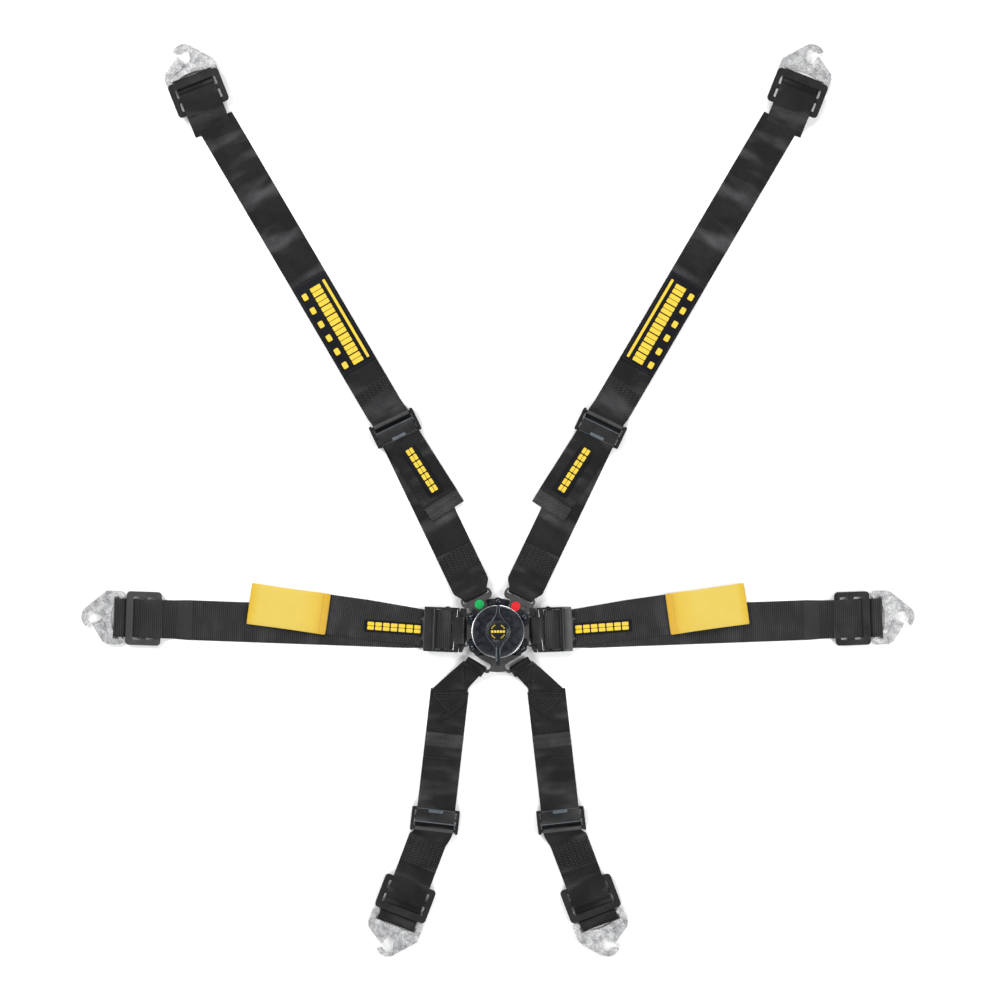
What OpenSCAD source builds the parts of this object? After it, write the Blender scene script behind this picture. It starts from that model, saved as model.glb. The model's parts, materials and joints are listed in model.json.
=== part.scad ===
// Six-point racing harness with a cam-lock buckle, laid out flat.
// Origin: centre of the buckle's back face. +Y runs towards the shoulder straps, +Z away from the wearer.
// Only the left half is described; the right half is its mirror image in the YZ plane.

/* [Webbing] */
// Width of the webbing
web_w = 48; // [46:0.5:49]
// Thickness of one layer of webbing
web_t = 1.2; // [1:0.1:1.3]

/* [Buckle] */
// Radius of the release dial
dial_r = 33; // [31:0.5:34]
// Radius of the buckle's back plate and lobes
case_r = 41; // [40:0.5:42]
// Thickness of the tongue plates
tongue_t = 3; // [2.8:0.1:3]
// Lift of the latch pins at the end of the dial's turn
latch_lift = 3.6; // [3.5:0.05:3.6]
// Turn of the dial that lifts the pins all the way
dial_turn = 60; // [55:1:60]

/* [Straps] */
// Shoulder strap, tongue bar to adjuster
shoulder_lower_len = 230; // [200:1:260]
// Shoulder strap, adjuster to three-bar slide
shoulder_upper_len = 485; // [450:1:520]
// Lap strap, hinge bar to three-bar slide
lap_len = 398; // [360:1:420]
// Crotch strap, adjuster to three-bar slide
crotch_lower_len = 104.4; // [95:0.2:120]
// Length of the shoulder strap's free end beyond its adjuster
shoulder_tail_len = 104; // [80:1:120]
// Length of the crotch strap's free end beyond its adjuster
crotch_tail_len = 104; // [60:1:115]
// Length of the yellow pull loop
loop_len = 101; // [90:1:105]

/* [Hardware] */
// Width of the three-bar slides
slide_w = 67; // [64:0.5:68]
// Length of the three-bar slides
slide_len = 44; // [42:0.5:45]
// Radius of the seat for the eye bolt in each hook
eye_r = 6.8; // [6.5:0.1:6.8]
// Thickness of the hook plates
hook_t = 3.2; // [3:0.1:3.2]
// Width of the shoulder and crotch adjusters
adjuster_w = 60; // [58:0.5:61]

/* [Hidden] */
$fn = 64;
sides = ["left", "right"];

// Colours
webbing_black = [0.12, 0.12, 0.13];
plate_grey = [0.33, 0.32, 0.32];
hardware_black = [0.16, 0.16, 0.17];
zinc = [0.72, 0.72, 0.73];
spring_steel = [0.6, 0.6, 0.62];
dial_black = [0.05, 0.08, 0.12];
yellow = [1, 0.84, 0.3];

// Places of the strap frames: a point and the direction that runs away from the buckle
tongue_axis_x = -7.2;           // where the shoulder tongues' axis crosses the buckle's X axis
shoulder_dir = 115.6;
shoulder_bar = [-29, 46];
upper_dir = 120.4;
shoulder_hook_dir = 111.5;
lap_dir = 177.9;
lap_bar = [-45, 1.2];
tail_dir = 172;
crotch_bar = [-24.5, -44];
crotch_bar_dir = 239;
crotch_adjuster = [-78.75, -236.25];
crotch_upper_dir = 263.5;
crotch_dir = 249.3;
function along(p, dir, d) = [p[0] + d*cos(dir), p[1] + d*sin(dir)];
shoulder_adjuster = along(shoulder_bar, shoulder_dir, shoulder_lower_len);
shoulder_slide = along(shoulder_adjuster, upper_dir, shoulder_upper_len);

// Heights
tongue_z = 5.5;                 // underside of the tongues
bar_z = tongue_z + tongue_t/2;  // centre of the tongue bars
floor_z = 0.8;                  // middle of webbing that lies flat
second_z = 2.2;                 // middle of a second layer
hook_z = 4.4;                   // middle of the hook plates
slide_t = 3;
slide_z = 3.1;                  // underside of the lap and crotch slides
high_slide_z = 9.3;             // underside of the shoulder slides, which lie on the hooks' arms

// Buckle heights and radii
back_t = 2;
mouth_z = 5.3;
mouth_top = 9.4;
guide_top = 10.9;
carrier_z = 11.1;
carrier_t = 1.5;
ceiling_z = 18.6;
case_top = 19.8;
lobe_top = 12.5;
dial_z = 20.2;
dial_t = 4.8;
drum_r = 31.5;
pin_r = 3;
pin_ring = 20;
spindle_r = 4;
hub_r = 8;
rivet_ring = 37.2;
rivet_at = [90, 152, 28, 214, 326];
// Angle of each latch pin; the shoulder pins lie where the offset tongue axis meets the ring of pins
pin_at = [134.4, 45.6, 180, 0, 270];

// Hook bar centre, measured from the eye
hook_bar = 33.5;
lap_hook_gap = 28.6;            // slide centre to hook bar
crotch_hook_gap = 27.4;
shoulder_hook_gap = 15.9;

// ---- helpers ----
function unit(v) = v/norm(v);
function perp(v) = [-v[1], v[0]];
function arc(c, r, a0, a1, n) = [for (i = [0:n]) c + r*[cos(a0 + (a1 - a0)*i/n), sin(a0 + (a1 - a0)*i/n)]];
// Normal at each point of a path, lengthened at a corner so that the ribbon keeps its thickness
function normals(p) = [for (i = [0:len(p) - 1])
    let (n1 = perp(unit(p[max(i, 1)] - p[max(i, 1) - 1])),
         n2 = perp(unit(p[min(i + 1, len(p) - 1)] - p[min(i + 1, len(p) - 1) - 1])),
         m = unit(n1 + n2))
    m/(m*n1)];
function ribbon(p, t) = let (n = normals(p))
    concat([for (i = [0:len(p) - 1]) p[i] + n[i]*t/2], [for (i = [len(p) - 1:-1:0]) p[i] - n[i]*t/2]);

// Everything for the right side is the left side mirrored
module on_side(side) if (side == "left") children(); else mirror([1, 0, 0]) children();
// Local frame of a strap: x runs away from the buckle, z stays up
module frame_at(p, dir) translate([p[0], p[1], 0]) rotate([0, 0, dir]) children();
// A side profile drawn in x and z, extruded across the strap
module across(w) rotate([90, 0, 0]) linear_extrude(w, center = true) children();
module plate(z, t) translate([0, 0, z]) linear_extrude(t) children();
module rounded(x0, x1, w, r) translate([x0 + r, 0]) union() {
    translate([0, -w/2]) square([x1 - x0 - 2*r, w]);
    translate([-r, -w/2 + r]) square([x1 - x0, w - 2*r]);
    for (x = [0, x1 - x0 - 2*r], y = [-w/2 + r, w/2 - r]) translate([x, y]) circle(r);
}
// A bar's cross-section with softly rounded edges
module bar_section(c, w, t) translate([c[0] - w/2, c[1]]) rounded(0, w, t, min(1, t/3));

// ---- buckle ----
module buckle_back_plate() color(plate_grey) plate(0, back_t) difference() {
    circle(case_r);
    for (a = rivet_at) rotate(a) translate([rivet_ring, 0]) circle(2);
}

// Plan of the lobes that stand between the tongues
module lobes_plan() for (i = [0:4]) rotate(rivet_at[i]) intersection() {
    circle(case_r);
    translate([24, -10]) square([18, 20]);
}

module tongue_mouths() {
    mouth_h = mouth_top - mouth_z;
    for (s = sides) on_side(s) {
        translate([tongue_axis_x, 0, mouth_z]) rotate(shoulder_dir) translate([8.6, -9.6, 0])
            cube([45, 19.2, mouth_h]);
        translate([-50, lap_bar[1] - 6, mouth_z]) cube([37, 12, mouth_h]);
        translate([-50, lap_bar[1] - 12, mouth_z]) cube([22, 24, mouth_h]);
        translate([-50, lap_bar[1] - 22.5, mouth_z]) cube([14.8, 45, mouth_h]);
    }
    translate([-6.5, -50, mouth_z]) cube([13, 36.5, mouth_h]);
    translate([-36, -60, mouth_z]) cube([72, 30.5, mouth_h]);
}

module buckle_housing() color(hardware_black) difference() {
    union() {
        translate([0, 0, back_t]) cylinder(r = drum_r, h = case_top - back_t);
        plate(back_t, lobe_top - back_t - 1.5) lobes_plan();
        for (a = rivet_at) rotate(a) translate([33, 0, back_t]) cylinder(r = 7.2, h = lobe_top - back_t);
    }
    // cavity above the tongues' guide web, and the well that the cam ring turns in
    translate([0, 0, guide_top]) cylinder(r = 28, h = ceiling_z - guide_top);
    translate([0, 0, back_t - 1]) cylinder(r = 13.4, h = ceiling_z - back_t + 1);
    translate([0, 0, ceiling_z - 1]) cylinder(r = hub_r + 0.4, h = 4);
    for (a = pin_at) rotate(a) translate([pin_ring, 0, back_t + 1]) cylinder(r = pin_r + 0.05, h = 10);
    for (a = rivet_at) rotate(a) translate([rivet_ring, 0, 0]) cylinder(r = 2, h = 30);
    tongue_mouths();
}

module housing_rivets() color(hardware_black) for (a = rivet_at) rotate(a) translate([rivet_ring, 0, 0])
    rotate_extrude() union() {
        translate([0, 0.2]) square([2, lobe_top]);
        translate([0, lobe_top]) intersection() {
            translate([0, -2.4]) circle(4.2);
            square([5, 3]);
        }
    }

module spindle() color(spring_steel) {
    translate([0, 0, back_t]) cylinder(r = spindle_r, h = 21);
    translate([0, 0, back_t + 21]) cylinder(r = 6, h = 1.4);
}

module dial_spring() {
    turns = 3;
    inner = 9.2;
    pitch = 2.1;
    steps = 60;
    spiral = [for (i = [0:steps]) (inner + pitch*turns*i/steps)*[cos(360*turns*i/steps), sin(360*turns*i/steps)]];
    color(spring_steel) translate([0, 0, case_top + 0.1]) linear_extrude(1.6) polygon(ribbon(spiral, 0.6));
}

module release_dial() color(dial_black) difference() {
    union() {
        rotate_extrude() polygon([[0, dial_z], [dial_r - 1, dial_z], [dial_r, dial_z + 1], [dial_r, dial_z + 2.8],
            [dial_r - 2.2, dial_z + dial_t - 0.6], [dial_r - 5, dial_z + dial_t], [0, dial_z + dial_t]]);
        translate([0, 0, dial_z]) cylinder(r = 14.6, h = dial_t + 1.6);
        // ridge to the top edge
        plate(dial_z + 1, dial_t + 0.6) translate([-1.8, 12]) square([3.6, dial_r - 14]);
        // lever
        plate(dial_z + 0.6, dial_t + 2.4) union() {
            translate([-3.3, -41]) square([6.6, 27.5]);
            translate([0, -41]) circle(3.3);
        }
    }
    translate([0, 0, dial_z - 1]) cylinder(r = spindle_r + 0.05, h = 10);
    translate([0, 0, back_t + 20.9]) cylinder(r = 6.4, h = 8);
    translate([0, 0, dial_z + dial_t + 0.2]) cylinder(r = 12.4, h = 5);
    // room for the return spring
    translate([0, 0, dial_z - 1]) difference() {
        cylinder(r = 17.5, h = 2.8);
        cylinder(r = hub_r, h = 2.8);
    }
}

// Ring with three rising ramps that lift the latch carrier as the dial turns
module cam_ring() {
    ramp_steps = 9;
    peg_half_angle = 6;
    step = (dial_turn + 2*peg_half_angle)/ramp_steps;
    base_z = 4.5;
    gap = 0.15;
    color(spring_steel) difference() {
        union() {
            translate([0, 0, base_z]) cylinder(r = hub_r, h = dial_z - base_z);
            translate([0, 0, base_z]) cylinder(r = 13.2, h = 2);
            // each step runs on a little way under the next, higher one
            for (k = [0:2], i = [0:ramp_steps - 1]) {
                phi = i*step - peg_half_angle;
                span = i < ramp_steps - 1 ? 1.5*step : step;
                top = carrier_z - gap + latch_lift/dial_turn*(phi - peg_half_angle);
                rotate(120*k + 90 - phi - span) plate(base_z + 1, top - base_z - 1)
                    polygon([[7, 0], [12.8, 0], 12.8*[cos(span), sin(span)], 7*[cos(span), sin(span)]]);
            }
        }
        translate([0, 0, 0]) cylinder(r = spindle_r + 0.05, h = 30);
    }
}

module dial_badge() color("black") translate([0, 0, dial_z + dial_t + 0.2]) {
    cylinder(r = 12.2, h = 0.9);
    translate([0, 0, 0.9]) cylinder(r = 10.8, h = 0.4);
}

module latch_pins() color(spring_steel) {
    difference() {
        translate([0, 0, carrier_z]) cylinder(r = 25, h = carrier_t);
        translate([0, 0, carrier_z - 1]) cylinder(r = 14.2, h = 4);
    }
    for (k = [0:2]) rotate(120*k + 90 - 5) rotate_extrude(angle = 10)
        translate([9.5, carrier_z]) square([5, carrier_t]);
    for (a = pin_at) rotate(a) translate([pin_ring, 0, 0]) {
        translate([0, 0, mouth_z - 0.1]) cylinder(r = pin_r, h = carrier_z - mouth_z + 0.1);
        translate([0, 0, carrier_z + carrier_t]) cylinder(r = 1.6, h = 1.2);
    }
}

// One round wire coil as a swept tube
module coil(mean_r, wire_r, height, turns) {
    rings = 14*turns;
    m = 6;
    rise = height - 2*wire_r;
    pts = [for (i = [0:rings], j = [0:m - 1])
        let (a = 360*turns*i/rings, b = 360*j/m)
        [(mean_r + wire_r*cos(b))*cos(a), (mean_r + wire_r*cos(b))*sin(a), wire_r + rise*i/rings + wire_r*sin(b)]];
    quads = [for (i = [0:rings - 1], j = [0:m - 1])
        [i*m + j, (i + 1)*m + j, (i + 1)*m + (j + 1)%m, i*m + (j + 1)%m]];
    polyhedron(pts, concat(quads, [[for (j = [0:m - 1]) j], [for (j = [m - 1:-1:0]) rings*m + j]]), convexity = 8);
}

module latch_springs() color(spring_steel) for (a = pin_at) rotate(a)
    translate([pin_ring, 0, carrier_z + carrier_t + 0.1])
        coil(2.6, 0.45, ceiling_z - carrier_z - carrier_t - 0.2, 2);

module marker(dist) translate([tongue_axis_x, 0, tongue_z + tongue_t]) rotate(shoulder_dir)
    translate([dist, 0, 0]) cylinder(r = 5.8, h = 0.5);
module marker_green() color([0, 0.62, 0.27]) marker(37);
module marker_red() color([0.9, 0.1, 0.13]) on_side("right") marker(34.5);

// ---- tongues ----
// x runs out along the tongue; the bar for the webbing is centred at bar_x
module tongue_plan(nose_x, nose_w, neck_x, neck_w, head_x, head_w, bar_x, slot_w, slot_x) difference() {
    union() {
        translate([nose_x + nose_w/2, 0]) circle(nose_w/2);
        translate([nose_x + nose_w/2, -nose_w/2]) square([neck_x - nose_x, nose_w]);
        translate([neck_x, -neck_w/2]) square([head_x + 4 - neck_x, neck_w]);
        rounded(head_x, bar_x + 2.3, head_w, min(6.5, (bar_x + 2.3 - head_x)/2 - 0.1));
    }
    translate([slot_x, 0]) rounded(0, bar_x - 2.3 - slot_x, slot_w, 1.4);
}

module shoulder_tongue() color(plate_grey) difference() {
    reach = (shoulder_bar[1])/sin(shoulder_dir);
    plate(tongue_z, tongue_t) translate([tongue_axis_x, 0]) rotate(shoulder_dir)
        tongue_plan(9.5, 10.5, 24, 18, 38.8, 41, reach, 35, reach - 5.2);
    rotate(pin_at[0]) translate([pin_ring, 0, 0]) cylinder(r = pin_r + 0.15, h = 20);
}

module lap_tongue() color(plate_grey) difference() {
    plate(tongue_z, tongue_t) translate([0, lap_bar[1]]) rotate(180)
        tongue_plan(14, 11, 30, 22, 35.6, 42, -lap_bar[0], 37, -lap_bar[0] - 6.2);
    rotate(180) translate([pin_ring, 0, 0]) cylinder(r = pin_r + 0.15, h = 20);
}

// One plate with a slanted slot and bar on each side
module crotch_tongue() color(plate_grey) difference() {
    slot_w = 31.8;
    slot_shift = -2.5;
    plate(tongue_z, tongue_t) difference() {
        union() {
            translate([-5.25, -30]) square([10.5, 11]);
            translate([0, -19.3]) circle(5.25);
            intersection() {
                translate([-32, -56]) square([64, 26]);
                union() {
                    translate([0, 14]) circle(65.2);
                    for (s = sides) on_side(s) translate(crotch_bar) rotate(crotch_bar_dir)
                        translate([0, slot_shift]) rounded(-12, 2.3, slot_w + 4.4, 4);
                }
                union() {
                    translate([-14, -60]) square([28, 40]);
                    for (s = sides) on_side(s) translate(crotch_bar) rotate(crotch_bar_dir)
                        translate([-40, -21]) square([42.3, 42]);
                }
            }
        }
        for (s = sides) on_side(s) translate(crotch_bar) rotate(crotch_bar_dir)
            translate([0, slot_shift]) rounded(-9.8, -2.3, slot_w, 2.6);
    }
    rotate(270) translate([pin_ring, 0, 0]) cylinder(r = pin_r + 0.15, h = 20);
}

// ---- three-bar slide, in a frame with its centre at the origin ----
module slide(z) color(hardware_black) plate(z, slide_t) difference() {
    rounded(-slide_len/2, slide_len/2, slide_w, 5);
    rounded(-slide_len/2 + 6.8, -4, slide_w - 13.6, 1.5);
    rounded(2, slide_len/2 - 8.8, slide_w - 13.6, 1.5);
}

// Side profile of the webbing from the flat strap, over the slide, and round the hook's bar.
// x = 0 is the slide's centre, b is the hook bar, z the slide's underside.
module slide_loop_profile(b, z, start) {
    over = z + slide_t + 0.1 + web_t;
    loop_r = 3.1 + web_t/2;
    front = b + 8.3 - 3.1 - web_t;
    low = z > 6;
    join = low ? [6.5, z - 0.6] : [13, floor_z + web_t/2];
    // single layer up the ramp, then two layers over the slide
    polygon(ribbon([[start, floor_z], [-slide_len/2 - z - 10, floor_z], [-slide_len/2 - 0.6, over - web_t/2],
        [-slide_len/2 + 4, over - web_t/2]], web_t));
    polygon(ribbon(concat([[-slide_len/2 + 1, over], [2.6, over], [4.6, over - 1.6]],
        low ? [[6.8, z - 0.4]] : [[9, z - 0.4], [12.5, floor_z + web_t/2], [slide_len/2 - 2, floor_z + web_t/2]]),
        2*web_t));
    // the loop itself
    polygon(ribbon(concat(
        low ? [join, [9.5, hook_z + loop_r]] : [[slide_len/2 - 3, floor_z + web_t], [b - 4.6, floor_z + web_t + 0.4],
            [b - 3.8, hook_z + 2.4]],
        [[b - 0.5, hook_z + loop_r]],
        arc([front, hook_z], loop_r, 90, -90, 10),
        low ? [[b - 1, hook_z - loop_r], [7.5, 1.8], [5.6, z - 0.8]] : [[b - 3, hook_z - loop_r],
            [slide_len/2 - 3, floor_z + 0.1]]), web_t));
}

// ---- hook, in a frame with the eye at the origin and x towards the nose; the gate is on the +y side ----
gate_pivot = [-15.5, 27.5];
module hook_plan() difference() {
    union() {
        circle(15.5);
        polygon([[9.9, -11.9], [-15, -33], [-20, -33.5], [-34, -33.5], [-37.4, -31], [-37.4, 31], [-34, 33.5],
            [-17.5, 33.5], [-13.4, 30.4], [-12.3, 27.5], [-12.4, 24], [-8.6, 11.5], [-4, 0]]);
        translate(gate_pivot) circle(3.2);
    }
    // eye: a round seat by the nose that runs back as an oval
    rotate(-10) union() {
        translate([2.4, 0]) circle(eye_r);
        translate([-2.6, 0]) circle(eye_r - 0.3);
        translate([-2.6, -eye_r + 0.3]) square([5, 2*eye_r - 0.6]);
    }
    // entry gap
    polygon([[-6, 3.5], [-9.8, 13], [-11, 40], [20, 30], [8.4, 9.6], [5.6, 5.4]]);
    // window for the webbing, with an arched front edge
    intersection() {
        translate([-70, 0]) circle(48.4);
        translate([-hook_bar + 2.3, -26.2]) square([12, 52.4]);
    }
    translate([-hook_bar + 2.3, -26.2]) square([6.6, 52.4]);
    // the bar is narrower between the arms, so that it turns inside the webbing
    translate([-hook_bar - 5, -26.2]) square([2.7, 52.4]);
    translate(gate_pivot) circle(1.65);
}

module hook() color(zinc) {
    plate(hook_z - hook_t/2, hook_t) hook_plan();
    translate([gate_pivot[0], gate_pivot[1], 0]) {
        translate([0, 0, hook_z - 2.85]) cylinder(r = 1.65, h = 5.7);
        for (z = [hook_z - 3.7, hook_z + 2.8]) translate([0, 0, z]) cylinder(r = 3, h = 0.9);
    }
}

module gate_plan() polygon([[2.9, 7.8], [-9.1, 3.8], [-12.5, 6], [-20.3, 29], [-17.5, 32.4], [-13, 31.2], [-11.4, 29.6]]);
module gate() color(zinc) difference() {
    union() {
        plate(hook_z - 2.75, 1) gate_plan();
        plate(hook_z + 1.75, 1) gate_plan();
        plate(hook_z - 2, 4) polygon([[2.9, 7.8], [-10.6, 28.4], [-11.4, 27.8], [1.9, 7.5]]);
    }
    translate([gate_pivot[0], gate_pivot[1], 0]) cylinder(r = 1.73, h = 12);
}

// ---- adjuster of the shoulder and crotch straps, in a frame with its centre at the origin ----
adjuster_len = 30;
lock_at = [-2, 6.2];            // centre of the sliding lock bar, in x and z
rear_bar_x = 11;
front_bar_x = -13;
frame_z = 3.2;
module adjuster_frame() color(hardware_black) {
    for (s = [-1, 1]) difference() {
        translate([0, s*(adjuster_w/2 - 2), frame_z]) linear_extrude(6)
            rounded(-adjuster_len/2, adjuster_len/2, 4, 1.9);
        // slot that the lock bar's ends slide in
        translate([-6.2, s*adjuster_w/2 - 5, lock_at[1] - 1.6]) cube([5.8, 10, 3.2]);
    }
    across(adjuster_w - 6) bar_section([rear_bar_x, frame_z + 1.5], 4.4, 3);
    across(adjuster_w - 6) bar_section([front_bar_x, frame_z + 1.2], 4, 2.4);
}
module lock_bar() color(hardware_black) translate([lock_at[0], 0, lock_at[1]]) rotate([90, 0, 0]) {
    cylinder(r = 2.6, h = adjuster_w - 9, center = true, $fn = 32);
    cylinder(r = 1.5, h = adjuster_w - 2, center = true);
}

// Webbing that comes in under the adjuster, round the lock bar and out on top as the free end
module lock_loop_profile(start, tail) {
    r = 3 + web_t/2;
    polygon(ribbon(concat([[start, floor_z], [front_bar_x - 1, floor_z], [lock_at[0] - 5, lock_at[1] - r - 0.4]],
        arc([lock_at[0] + 0.1, lock_at[1]], r, -90, 90, 10),
        [[lock_at[0] - 6, lock_at[1] + r], [front_bar_x - 1, frame_z + 3.4], [front_bar_x - 12, 3.4],
         [front_bar_x - 18, second_z + 0.2], [-tail, second_z + 0.2]]), web_t));
}
// Loop round the adjuster's rear bar, in the adjuster's own direction
module rear_loop_profile() {
    c = [rear_bar_x, frame_z + 1.5];
    r = 3.1 + web_t/2;
    polygon(ribbon(concat([[rear_bar_x + 16, floor_z], [rear_bar_x + 8, floor_z], [rear_bar_x + 1, c[1] - r]],
        arc(c, r, 270, 90, 10), [[rear_bar_x + 3, c[1] + r], [rear_bar_x + 14, second_z], [rear_bar_x + 16, second_z]]),
        web_t));
}
// The two sewn layers that run on from that loop in the strap's direction
module sewn_layers_profile(upper_end, lower_end) {
    for (layer = [[upper_end, second_z], [lower_end, floor_z]])
        polygon(ribbon([[rear_bar_x + 13, layer[1]], layer], web_t));
}

// ---- shoulder straps ----
module shoulder_lower_web() color(webbing_black) intersection() {
    frame_at(shoulder_bar, shoulder_dir) across(web_w) union() {
        reach = shoulder_lower_len;
        r = 3.1 + web_t/2;
        polygon(ribbon(concat([[60, second_z], [34, second_z], [8, bar_z + r - 0.6], [1.5, bar_z + r]],
            arc([0, bar_z], r, 90, 270, 10), [[1.5, bar_z - r], [14, floor_z], [60, floor_z]]), web_t));
        translate([reach, 0]) lock_loop_profile(60 - reach, shoulder_tail_len + adjuster_len/2);
    }
    // the webbing draws in to pass through the narrower tongue
    frame_at(shoulder_bar, shoulder_dir) translate([0, 0, -1]) linear_extrude(40)
        polygon([[-6, -16.5], [-1, -16.5], [12, -web_w/2], [300, -web_w/2], [300, web_w/2], [12, web_w/2], [-1, 16.5],
            [-6, 16.5]]);
}

module shoulder_upper_web() color(webbing_black) {
    frame_at(shoulder_adjuster, shoulder_dir) across(web_w) rear_loop_profile();
    frame_at(shoulder_adjuster, upper_dir) across(web_w) sewn_layers_profile(150, shoulder_upper_len - 38);
    frame_at(shoulder_slide, shoulder_hook_dir) across(web_w)
        slide_loop_profile(shoulder_hook_gap, high_slide_z, -slide_len/2 - 24);
}

// ---- lap straps ----
lap_roller = [22, 6.6];
lap_roller_r = 4.5;
tail_start = along(lap_bar, lap_dir, 58);
loop_gap = 211;                 // tail start to the outer end of the pull loop
module lap_web() color(webbing_black) {
    r = lap_roller_r + 0.4 + web_t/2;
    frame_at(lap_bar, lap_dir) across(web_w) union() {
        polygon(ribbon(concat([[lap_len - 30, floor_z], [lap_roller[0] + 3, floor_z]],
            arc(lap_roller, r, 270, 90, 12),
            [[30, 10.4], [36, 8.1], [46, 5.6], [58, 2.8], [64, second_z + 0.2], [70, second_z + 0.2]]), web_t));
        translate([lap_len, 0]) slide_loop_profile(lap_hook_gap, slide_z, -36);
    }
    frame_at(tail_start, tail_dir) plate(second_z - 0.45, web_t + 0.1)
        translate([2, -web_w/2]) square([loop_gap - loop_len + 24, web_w]);
}

// Cheeks with a curl round the tongue's bar, a bridge over the free end, and the roller's pivot holes
module lap_adjuster_frame() color(hardware_black) frame_at(lap_bar, lap_dir) {
    cheek_y = 26.6;
    for (s = [-1, 1]) translate([0, s*cheek_y, 0]) difference() {
        across(2.4) polygon([[9, 4], [9, 11.5], [14, 12.4], [38, 12], [47.5, 8.4], [47.5, 5], [40, 2.2], [12, 1.6]]);
        translate([lap_roller[0], 0, lap_roller[1]]) rotate([90, 0, 0]) cylinder(r = 1.65, h = 8, center = true);
    }
    across(2*cheek_y) union() {
        polygon(ribbon([[32.5, 11], [39.5, 9.9], [47.3, 7.7]], 1.5));
        translate([36, 11.2]) circle(2);
    }
    intersection() {
        across(2*cheek_y + 2.4) difference() {
            union() {
                translate([0, bar_z]) circle(5);
                polygon([[0, bar_z + 5], [12, bar_z + 4.5], [12, bar_z + 2.8], [4.2, bar_z + 2.8], [0, bar_z + 3.6]]);
            }
            translate([0, bar_z]) circle(3.5);
        }
        translate([0, 0, -1]) linear_extrude(30) polygon([[-6, -16.5], [2.4, -17.4], [4, -27.8], [14, -27.8],
            [14, 27.8], [4, 27.8], [2.4, 17.4], [-6, 16.5]]);
    }
}

module lap_lock_bar() color(hardware_black) frame_at(lap_bar, lap_dir)
    translate([lap_roller[0], 0, lap_roller[1]]) rotate([90, 0, 0]) {
        cylinder(r = lap_roller_r, h = 50, center = true, $fn = 32);
        cylinder(r = 1.6, h = 55.4, center = true);
    }

pull_h = 4.4;
pull_z = 3.3;
module pull_loop() color(yellow) frame_at(tail_start, tail_dir) translate([loop_gap - loop_len, 0, 0])
    across(52) difference() {
        translate([0, pull_z + pull_h/2]) rounded(0, loop_len, pull_h, pull_h/2 - 0.05);
        translate([0, pull_z + pull_h/2]) rounded(1.3, loop_len - 1.3, pull_h - 2.6, 0.85);
    }

// ---- crotch straps ----
crotch_bend = [-60.3, -73.8];
crotch_run = norm(crotch_adjuster - crotch_bend);
module crotch_upper_web() color(webbing_black) {
    r = 3.1 + web_t/2;
    intersection() {
        frame_at(crotch_bar, crotch_bar_dir) across(90) polygon(ribbon(concat(
            [[50, second_z], [34, second_z], [8, bar_z + r - 0.6], [1.5, bar_z + r]],
            arc([0, bar_z], r, 90, 270, 10), [[1.5, bar_z - r], [14, floor_z], [72, floor_z]]), web_t));
        // folded and double at the tongue, opening to the full width at the bend
        translate([0, 0, -1]) linear_extrude(40) polygon([[-36.4, -30.9], [-40, -34.6], [-83, -75], [-84.2, -84],
            [-37.9, -84], [-37.4, -71.5], [-16, -50], [-8, -44]]);
    }
    intersection() {
        frame_at(crotch_adjuster, crotch_upper_dir + 180) across(web_w) union() {
            polygon(ribbon([[crotch_run, floor_z], [30, floor_z]], web_t));
            mirror([1, 0]) lock_loop_profile(-40, crotch_tail_len);
        }
        translate([-150, -300, -1]) cube([140, 300 - 75, 40]);
    }
}

module crotch_lower_web() color(webbing_black) {
    frame_at(crotch_adjuster, crotch_upper_dir) across(web_w) rear_loop_profile();
    frame_at(crotch_adjuster, crotch_dir) across(web_w) {
        sewn_layers_profile(60, crotch_lower_len - 30);
        translate([crotch_lower_len, 0]) slide_loop_profile(crotch_hook_gap, slide_z, -40);
    }
}

// ---- which node is which ----
module shoulder_hook_frame() frame_at(shoulder_slide, shoulder_hook_dir) children();
module lap_hook_frame() frame_at(lap_bar, lap_dir) translate([lap_len, 0, 0]) children();
module crotch_hook_frame() frame_at(crotch_adjuster, crotch_dir) translate([crotch_lower_len, 0, 0]) children();

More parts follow.
